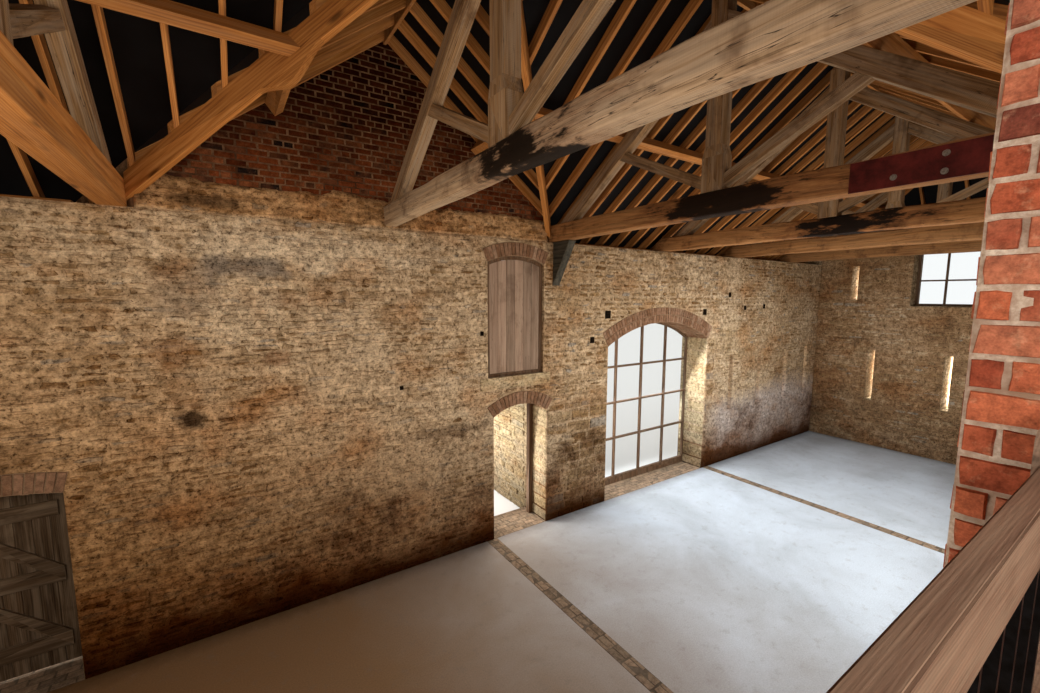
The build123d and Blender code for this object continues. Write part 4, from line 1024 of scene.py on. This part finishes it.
def make_brickwork():
    mesh = Mesh("bricks_gables", "brick", "brick")
    top = CROSS_PEAK + 0.1
    window = [arched(WING_WINDOW)]
    lay_bricks(mesh, Face("x", GABLE_Y, -1, -2.79, 2.79, LEDGE_TOP, top, (), cross_edge(COVER_IN)), 41,
               header_every=6, rough=0.16, joint=0.012)
    for seed, level, out, half, holes, cover in (
            (42, NORTH_OUT, 1, WING_X, (), COVER_OUT), (43, WING_IN, 1, GABLE_X, window, COVER_IN),
            (44, WING_OUT, -1, WING_X, window, COVER_OUT)):
        lay_bricks(mesh, Face("x", level, out, -half, half, WALL_TOP, top, holes, cross_edge(cover)), seed)
    mesh.make()

    mesh = Mesh("bricks_arches", "brick_arch", "brick")

    def plane(axis, level, out):
        return Face(axis, level, out, -14, 14, 0, 9)
    north = [plane("x", NORTH_IN, -1), plane("x", NORTH_OUT, 1)]
    south = [plane("x", SOUTH_IN, 1), plane("x", SOUTH_OUT, -1)]
    wing = [plane("x", WING_IN, 1), plane("x", WING_OUT, -1)]
    ends = [plane("y", side * level, side * out)
            for side in (1, -1) for level, out in ((HALF_LENGTH, -1), (OUTER_X, 1))]
    for head, rows, faces, shift in ((DOOR, 1, north, 0), (DOORWAY, 1, north, 0), (LOFT, 1, north, 0),
                                     (CART, 2, north, 0), (CART, 2, south, 0), (END_WINDOW, 1, ends, RIDGE_Y),
                                     (WING_DOOR, 1, wing, 0), (WING_WINDOW, 1, wing, 0)):
        for index, face in enumerate(faces):
            lay_ring(mesh, face, head, rows, 50 + index, shift)
    mesh.make()

    mesh = Mesh("bricks_pier", "brick_pier", "brick")
    lime = Mesh("joints_pier", "joint", "brick", smooth=True)
    course = 0.068
    lay_bricks(mesh, Face("x", PIER_NORTH, 1, -PIER_X, PIER_X, FLOOR_TOP, WALL_TOP), 61, 0.009, 0.003, course,
               start=-PIER_X)
    for side in (1, -1):
        face = Face("y", side * PIER_X, side, SOUTH_OUT, PIER_NORTH, FLOOR_TOP, WALL_TOP)
        lay_bricks(mesh, face, 62 + side, 0.006, 0.008, course, start=PIER_NORTH, header_every=2, rough=0.13,
                   corners=8)
        lay_lime(lime, face, 0.014, lambda u, z: 0.0015 + 0.007 * rough_noise(u * 26, z * 26, side))
    mesh.make()
    lime.make()

    mesh = Mesh("bricks_floor", "paver", "brick")
    for x in STRIPS:
        start = x - STRIP_WIDTH / 2
        lay_bricks(mesh, Face("z", FLOOR_TOP, 1, start, x + STRIP_WIDTH / 2, SOUTH_IN, NORTH_IN), 64,
                   0.008, 0.002, 0.215, 0.1, start, rough=0.1)
    for (start, width, *rest), low, high in (
            (DOOR, NORTH_IN, NORTH_OUT), (DOORWAY, NORTH_IN, NORTH_OUT), (CART, NORTH_IN, NORTH_OUT),
            (CART, SOUTH_OUT, SOUTH_IN), (WING_DOOR, WING_OUT, WING_IN)):
        lay_bricks(mesh, Face("z", FLOOR_TOP, 1, start, start + width, low, high), 66, 0.008, 0.002, 0.108,
                   0.215, start, rough=0.1)
    mesh.make()


# Old ties, hewn by hand: crooked, with worn edges
def hewn_beam(mesh, x, width, depth, bottom, camber, seed):
    """A beam across the hall at x, with a rough section that changes along it."""
    steps, low, high = 72, RIDGE_Y - TIE_END, RIDGE_Y + TIE_END

    def wander(share, place, amount):
        return amount * rough_noise(share * 9, place * 3.7, seed)

    points = []
    for step in range(steps + 1):
        share = step / steps
        y = low + (high - low) * share
        middle = x + wander(share / 3, 1, 0.03) * sin(pi * share)
        lift = bottom + camber * 4 * share * (1 - share)
        half = width / 2 + wander(share, 2, 0.012)
        top = min(lift + depth + wander(share, 3, 0.012), main_z(y) - 0.004)
        foot = lift + wander(share, 4, 0.01)
        ring = []
        for index, (a, b) in enumerate(((-1, -1), (1, -1), (1, 1), (-1, 1))):
            worn = 0.012 + abs(wander(share, 5 + index, 0.035))
            edge_x, edge_z = middle + a * half, foot if b < 0 else top
            near = [(edge_x, edge_z - b * worn), (edge_x - a * worn * 0.3, edge_z - b * worn * 0.3),
                    (edge_x - a * worn, edge_z)]
            ring += near[::-1] if a * b < 0 else near
            if index % 2:
                ring.append((middle + a * (half + wander(share, 11 + index, 0.008)), (foot + top) / 2))
            else:
                ring.append((middle, edge_z + wander(share, 15 + index, 0.006)))
        points += [(u, y, max(z, bottom - 0.01)) for u, z in ring]
    count = len(ring)
    faces = []
    for start in range(0, steps * count, count):
        faces += [tuple(start + index for index in face) for face in belt(count, True)]
    faces += [tuple(range(count)), tuple(range(steps * count, (steps + 1) * count))[::-1]]
    mesh.add(points, faces)


def make_ties():
    mesh = Mesh("hewn_ties", "oak_y", "old_oak", smooth=True)
    for index, x in enumerate(TIE_PLACES):
        if x:
            hewn_beam(mesh, x, TIE_WIDTH - 0.012, TIE_DEPTH - 0.006, WALL_TOP + 0.006, 0.015, 3.0 + index)
        else:
            hewn_beam(mesh, x, 0.19, 0.25, WALL_TOP + 0.03, 0.05, 2.0)
    mesh.make("oak_tie_beams")


# Roof tiles
TILE_WIDTH, TILE_GAUGE, TILE_LIFT, TILE_THICK = 0.225, 0.29, 0.022, 0.013
PROFILE = ((0.0, 0.006), (0.12, 0.0), (0.4, -0.002), (0.62, 0.012), (0.8, 0.034), (0.92, 0.03), (1.0, 0.008))


def lay_tiles(mesh, origin, along, up, limits, rows, seed):
    """Pantiles over a slope: limits gives the ends of a row at a distance up the slope."""
    rng = Random(seed)
    normal = along.cross(up).normalized()
    flip = normal.z < 0
    if flip:
        normal = -normal
    count = len(PROFILE)
    faces = []
    for i in range(count - 1):
        faces.append((i, i + 1, count + i + 1, count + i))
        faces.append((2 * count + i, 2 * count + i + 1, i + 1, i))
    for row in range(rows):
        v0 = row * TILE_GAUGE
        v1 = v0 + TILE_GAUGE
        u = max(limits(v0)[0], limits(v1)[0])
        high = min(limits(v0)[1], limits(v1)[1])
        while u < high - 0.03:
            width = min(TILE_WIDTH, high - u)
            tip = TILE_LIFT + rng.uniform(-0.003, 0.003)
            points = [tuple(origin + along * (u + share * width) + up * v + normal * (rise + lift))
                      for v, lift in ((v0, tip), (v1 + 0.02, 0.004), (v0, tip - TILE_THICK))
                      for share, rise in PROFILE]
            mesh.add(points, faces, flip)
            u += width


def make_roof():
    rows = int((EAVES_Y - 0.05) / cos(PITCH) // TILE_GAUGE)

    def main_limits(v):
        distance = EAVES_Y - v * cos(PITCH)
        return max(valley_x(distance), 0) + 0.06, min(VERGE_X - 0.01, hip_x(distance) - 0.04)
    for side, name in ((1, "tiles_main_north"), (-1, "tiles_main_south")):
        mesh = Mesh(name, "tile", "roof_tile")
        origin = Vector((0, RIDGE_Y + side * EAVES_Y, MAIN_PEAK + COVER_TOP - EAVES_Y * MAIN_SLOPE))
        up = Vector((0, -side * cos(PITCH), sin(PITCH)))
        for end in (1, -1):
            lay_tiles(mesh, origin, Vector((end, 0, 0)), up, main_limits, rows, 71 + side)
        mesh.make()

    turn, reach = atan2(CROSS_SLOPE, 1), valley_x(EAVES_Y)
    rows = int((reach - 0.05) / cos(turn) // TILE_GAUGE)
    mesh = Mesh("tiles_cross", "tile", "roof_tile")
    for side in (1, -1):
        origin = Vector((side * reach, RIDGE_Y, CROSS_PEAK + COVER_TOP - reach * CROSS_SLOPE))
        up = Vector((-side * cos(turn), 0, sin(turn)))
        for end, verge in ((1, NORTH_VERGE_Y), (-1, VERGE_Y)):
            def cross_limits(v):
                distance = (MAIN_PEAK - CROSS_PEAK + (reach - v * cos(turn)) * CROSS_SLOPE) / MAIN_SLOPE
                return max(distance, 0) + 0.06, verge - 0.01
            lay_tiles(mesh, origin, Vector((0, end, 0)), up, cross_limits, rows, 75 + side)
    mesh.make()

    mesh = Mesh("tiles_hips", "tile", "roof_tile")
    foot = VERGE_X - 0.06
    rows = int((foot - hip_x(0)) / cos(HIP_PITCH) // TILE_GAUGE)

    def hip_limits(v):
        distance = (MAIN_PEAK - hip_z(foot - v * cos(HIP_PITCH))) / MAIN_SLOPE
        return -distance + 0.04, distance - 0.04
    for side in (1, -1):
        origin = Vector((side * foot, RIDGE_Y, hip_z(foot, COVER_TOP)))
        up = Vector((-side * cos(HIP_PITCH), 0, sin(HIP_PITCH)))
        lay_tiles(mesh, origin, Vector((0, 1, 0)), up, hip_limits, rows, 78 + side)
    mesh.make()


# Boards of the doors, the gallery's rails, and the bolts of the steel plate
def make_boards(name, finish, slot, node, head, margin, count, seed, body="barn"):
    """Upright boards with worn edges, in place of a node's plain panel, with a tongue behind their joints."""
    rng = Random(seed)
    low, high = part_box(node)
    start, span, bottom, spring, rise, ring = head
    radius, angle = arch_parts(span, rise)

    def top(x):
        return spring + rise - radius + sqrt((radius - margin) ** 2 - (x - start - span / 2) ** 2)
    mesh = Mesh(name, finish, slot, body)
    width = (high.x - low.x) / count
    edge, gap, tongue = 0.004, 0.0015, 0.003
    for index in range(count):
        west, east = low.x + index * width + gap, low.x + (index + 1) * width - gap
        back = low.y + rng.uniform(0, 0.002)
        outline = [(west, back + edge), (west + edge, back), (east - edge, back), (east, back + edge),
                   (east, high.y - edge), (east - edge, high.y), (west + edge, high.y), (west, high.y - edge)]
        foot = low.z + rng.uniform(0, 0.004)
        mesh.prism(outline, lambda x: foot, top)
    middle, west, east = (low.y + high.y) / 2, low.x + 0.01, high.x - 0.01
    mesh.prism([(west, middle - tongue), (east, middle - tongue), (east, middle + tongue),
                (west, middle + tongue)], lambda x: low.z + 0.006, lambda x: top(x) - 0.006)
    mesh.make(node)


def make_gallery_rails():
    """The rails as boards on edge, their round-topped end pieces at the pier, and the bars under them."""
    rails = Mesh("handrail_boards", "rail", "new_pine")
    bars = Mesh("handrail_bars", "iron", "dark_iron")
    low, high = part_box("gallery_handrails")
    end, north = PIER_X + 0.06, low.y + 0.1
    south, foot, top = north - 0.036, high.z - 0.207, high.z - 0.1
    bar_half, bar_inset, bar_foot, spaces = 0.006, 0.004, 2.9, 17

    def board(mesh, west, east, south, north, foot, top, edge):
        for inset, low, high in ((0, foot, top - edge), (edge, top - edge, top)):
            mesh.prism([(west, south + inset), (east, south + inset), (east, north - inset),
                        (west, north - inset)], lambda x: low, lambda x: high)
    middle, half = (low.y + high.y) / 2, (high.y - low.y) / 2
    head = [(middle + half * cos(pi * step / 12), high.z - half + half * sin(pi * step / 12))
            for step in range(13)]
    ring = [(middle + half, low.z)] + head + [(middle - half, low.z)]
    count = len(ring)
    for side in (1, -1):
        west, east = sorted((side * end, side * GABLE_X))
        board(rails, west, east, south, north, foot, top, 0.003)
        rails.add([(side * x, y, z) for x in (PIER_X, end) for y, z in ring],
                  belt(count) + [tuple(range(count)), tuple(range(count, 2 * count))])
        for index in range(spaces):
            x = side * (end + (GABLE_X - end) * (index + 0.5) / spaces)
            board(bars, x - bar_half, x + bar_half, south + bar_inset, north - bar_inset, bar_foot,
                  foot + 0.002, 0.001)
    rails.make("gallery_handrails")
    bars.make("gallery_balusters")


def add_bolts():
    """Bolt heads on washers: each row's y, and the heights over the plate's foot."""
    low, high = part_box("steel_plate")
    mesh = Mesh("plate_bolts", "bolt", "painted_steel")
    for y, rises in ((-2.3, (0.06, 0.2)), (-1.9, (0.06, 0.2)), (-1.57, (0.06, 0.2)), (-1.24, (0.08,))):
        for rise in rises:
            for radius, start, depth, count in ((0.026, 0.0, 0.003, 16), (0.015, 0.003, 0.016, 6)):
                turns = [2 * pi * i / count for i in range(count)]
                points = [(low.x - start - out, y + radius * size * cos(turn),
                           low.z + rise + radius * size * sin(turn))
                          for out, size in ((0, 1), (depth, 0.96)) for turn in turns]
                mesh.add(points, belt(count, True) + [tuple(range(count, 2 * count))[::-1]])
    mesh.make()


make_north_wall()
make_stone_walls()
make_reveals()
make_brickwork()
make_ties()
make_roof()
make_boards("loft_door_planks", "loft", "loft_board", "loft_door", LOFT, 0.06, 6, 5)
make_boards("plank_door_planks", "door", "door_board", "plank_door_boards", DOOR, 0.083, 7, 6, "plank_door")
make_gallery_rails()
add_bolts()


# Stage, light and world
def add_stage():
    size = 60
    data = bpy.data.meshes.new("stage_floor")
    corners = [(a * size, b * size, -0.002) for a, b in ((-1, -1), (1, -1), (1, 1), (-1, 1))]
    data.from_pydata(corners, [], [(0, 1, 2, 3)])
    made = Finish("stage_white", 0.9)
    made.set("Base Color", (225, 223, 220))
    data.materials.append(made.material)
    floor = bpy.data.objects.new("stage_floor", data)
    bpy.context.scene.collection.objects.link(floor)


def add_lamp(name, kind, power, place, way):
    data = bpy.data.lights.new(name, kind)
    data.energy = power
    lamp = bpy.data.objects.new(name, data)
    lamp.location = place
    lamp.rotation_euler = Vector(way).to_track_quat("-Z", "Y").to_euler()
    bpy.context.scene.collection.objects.link(lamp)
    return lamp, data


def add_area(name, place, target, size, power, colour):
    lamp, data = add_lamp(name, "AREA", power, place, Vector(target) - Vector(place))
    data.shape, data.color = "RECTANGLE", colour
    data.size, data.size_y = size
    lamp.visible_camera = lamp.visible_glossy = lamp.visible_transmission = False


def add_world():
    """Soft light, with a white background for the camera, gloss and glass."""
    world = bpy.data.worlds.new("studio")
    world.use_nodes = True
    tree = world.node_tree
    tree.nodes.clear()
    path = tree.nodes.new("ShaderNodeLightPath")
    seen = path.outputs["Is Camera Ray"]
    for kind in ("Is Glossy Ray", "Is Transmission Ray"):
        more = tree.nodes.new("ShaderNodeMath")
        more.operation = "MAXIMUM"
        tree.links.new(seen, more.inputs[0])
        tree.links.new(path.outputs[kind], more.inputs[1])
        seen = more.outputs[0]
    join = tree.nodes.new("ShaderNodeMixShader")
    tree.links.new(seen, join.inputs[0])
    for index, strength in ((1, 0.75), (2, 1.0)):
        light = tree.nodes.new("ShaderNodeBackground")
        light.inputs["Color"].default_value = (1, 1, 1, 1)
        light.inputs["Strength"].default_value = strength
        tree.links.new(light.outputs[0], join.inputs[index])
    tree.links.new(join.outputs[0], tree.nodes.new("ShaderNodeOutputWorld").inputs[0])
    # An even sky is found by the bounces themselves, and needs no samples of its own
    world.cycles.sampling_method = "NONE"
    bpy.context.scene.world = world


WARM, COOL, LAMP = (1, 0.88, 0.74), (0.86, 0.93, 1), (1, 0.93, 0.84)
JAMB_Y, LAMP_IN = NORTH_IN + 0.3, 0.12
# Name, place, target, size, power and colour of each soft lamp
LAMPS = (
    ("lamp_gallery", (-0.4, -4.6, 4.7), (0.5, 3.4, 3.2), (3.5, 1.2), 90, LAMP),
    ("lamp_east", (6.0, -2.2, 3.0), (6.0, 3.4, 1.6), (6.0, 1.6), 170, (1, 0.96, 0.9)),
    ("lamp_west", (-5.4, -0.9, 4.3), (-4.9, 3.4, 4.5), (6.0, 1.4), 120, WARM),
    ("lamp_roof", (3.5, 0.5, 1.6), (3.5, 0.5, 8.0), (14.0, 3.0), 190, WARM),
    ("lamp_tie", (-2.3, -1.6, 3.9), (0.0, -0.6, 5.5), (1.2, 1.2), 30, LAMP),
    ("lamp_floor", (7.2, 0.2, 5.0), (7.2, 0.2, 0.0), (5.0, 2.5), 215, COOL),
    ("lamp_cart", (5.9, NORTH_IN + 0.5, 2.2), (5.9, 0.0, 0.4), (2.9, 2.6), 200, COOL),
    ("lamp_doorway", (2.2, NORTH_IN + 0.42, 1.3), (2.2, 0.0, 0.6), (0.9, 2.0), 26, (1, 0.97, 0.92)),
    ("lamp_jamb", (4.4, JAMB_Y, 1.8), (7.5, JAMB_Y, 1.8), (0.4, 2.8), 28, (1, 0.98, 0.94)),
    ("lamp_yard", (1.75, 5.3, 1.35), (2.8, 5.3, 1.3), (1.7, 1.6), 34, (1, 0.96, 0.9)),
    ("lamp_pier", (-2.5, -4.1, 4.8), (-0.79, -2.95, 4.5), (0.8, 0.8), 25, (1, 0.95, 0.88)),
)


def add_light():
    """The sun, the hall's lamps, and daylight in the slits."""
    sun, data = add_lamp("sun", "SUN", 1.9, (0, 0, 0), (0.75, -0.55, -0.9))
    data.angle = radians(12)
    for lamp in LAMPS:
        add_area(*lamp)
    east, north = OUTER_X - LAMP_IN, NORTH_OUT - LAMP_IN
    for y in (RIDGE_Y + place for place in END_SLITS):
        for x in (east, -east):
            add_area("lamp_slit", (x, y, 2.1), (0, y, 2.1), (0.07, 1.3), 32, COOL)
    for y in (RIDGE_Y + UPPER_SLIT, RIDGE_Y - UPPER_SLIT):
        add_area("lamp_upper_slit", (east, y, 4.65), (0, y, 4.65), (0.07, 0.9), 24, COOL)
    for x in SLITS:
        add_area("lamp_north_slit", (x, north, 2.1), (x, 0, 2.1), (0.07, 1.3), 9, (1, 1, 1))


add_stage()
add_world()
add_light()
add_camera()
scene = bpy.context.scene
scene.view_settings.view_transform = "Standard"
# Fewer bounces than usual, and a ray tree for slanting rafters, to keep a final render short
scene.cycles.max_bounces = 6
scene.cycles.diffuse_bounces = 3
scene.cycles.glossy_bounces = 2
scene.cycles.debug_use_spatial_splits = True
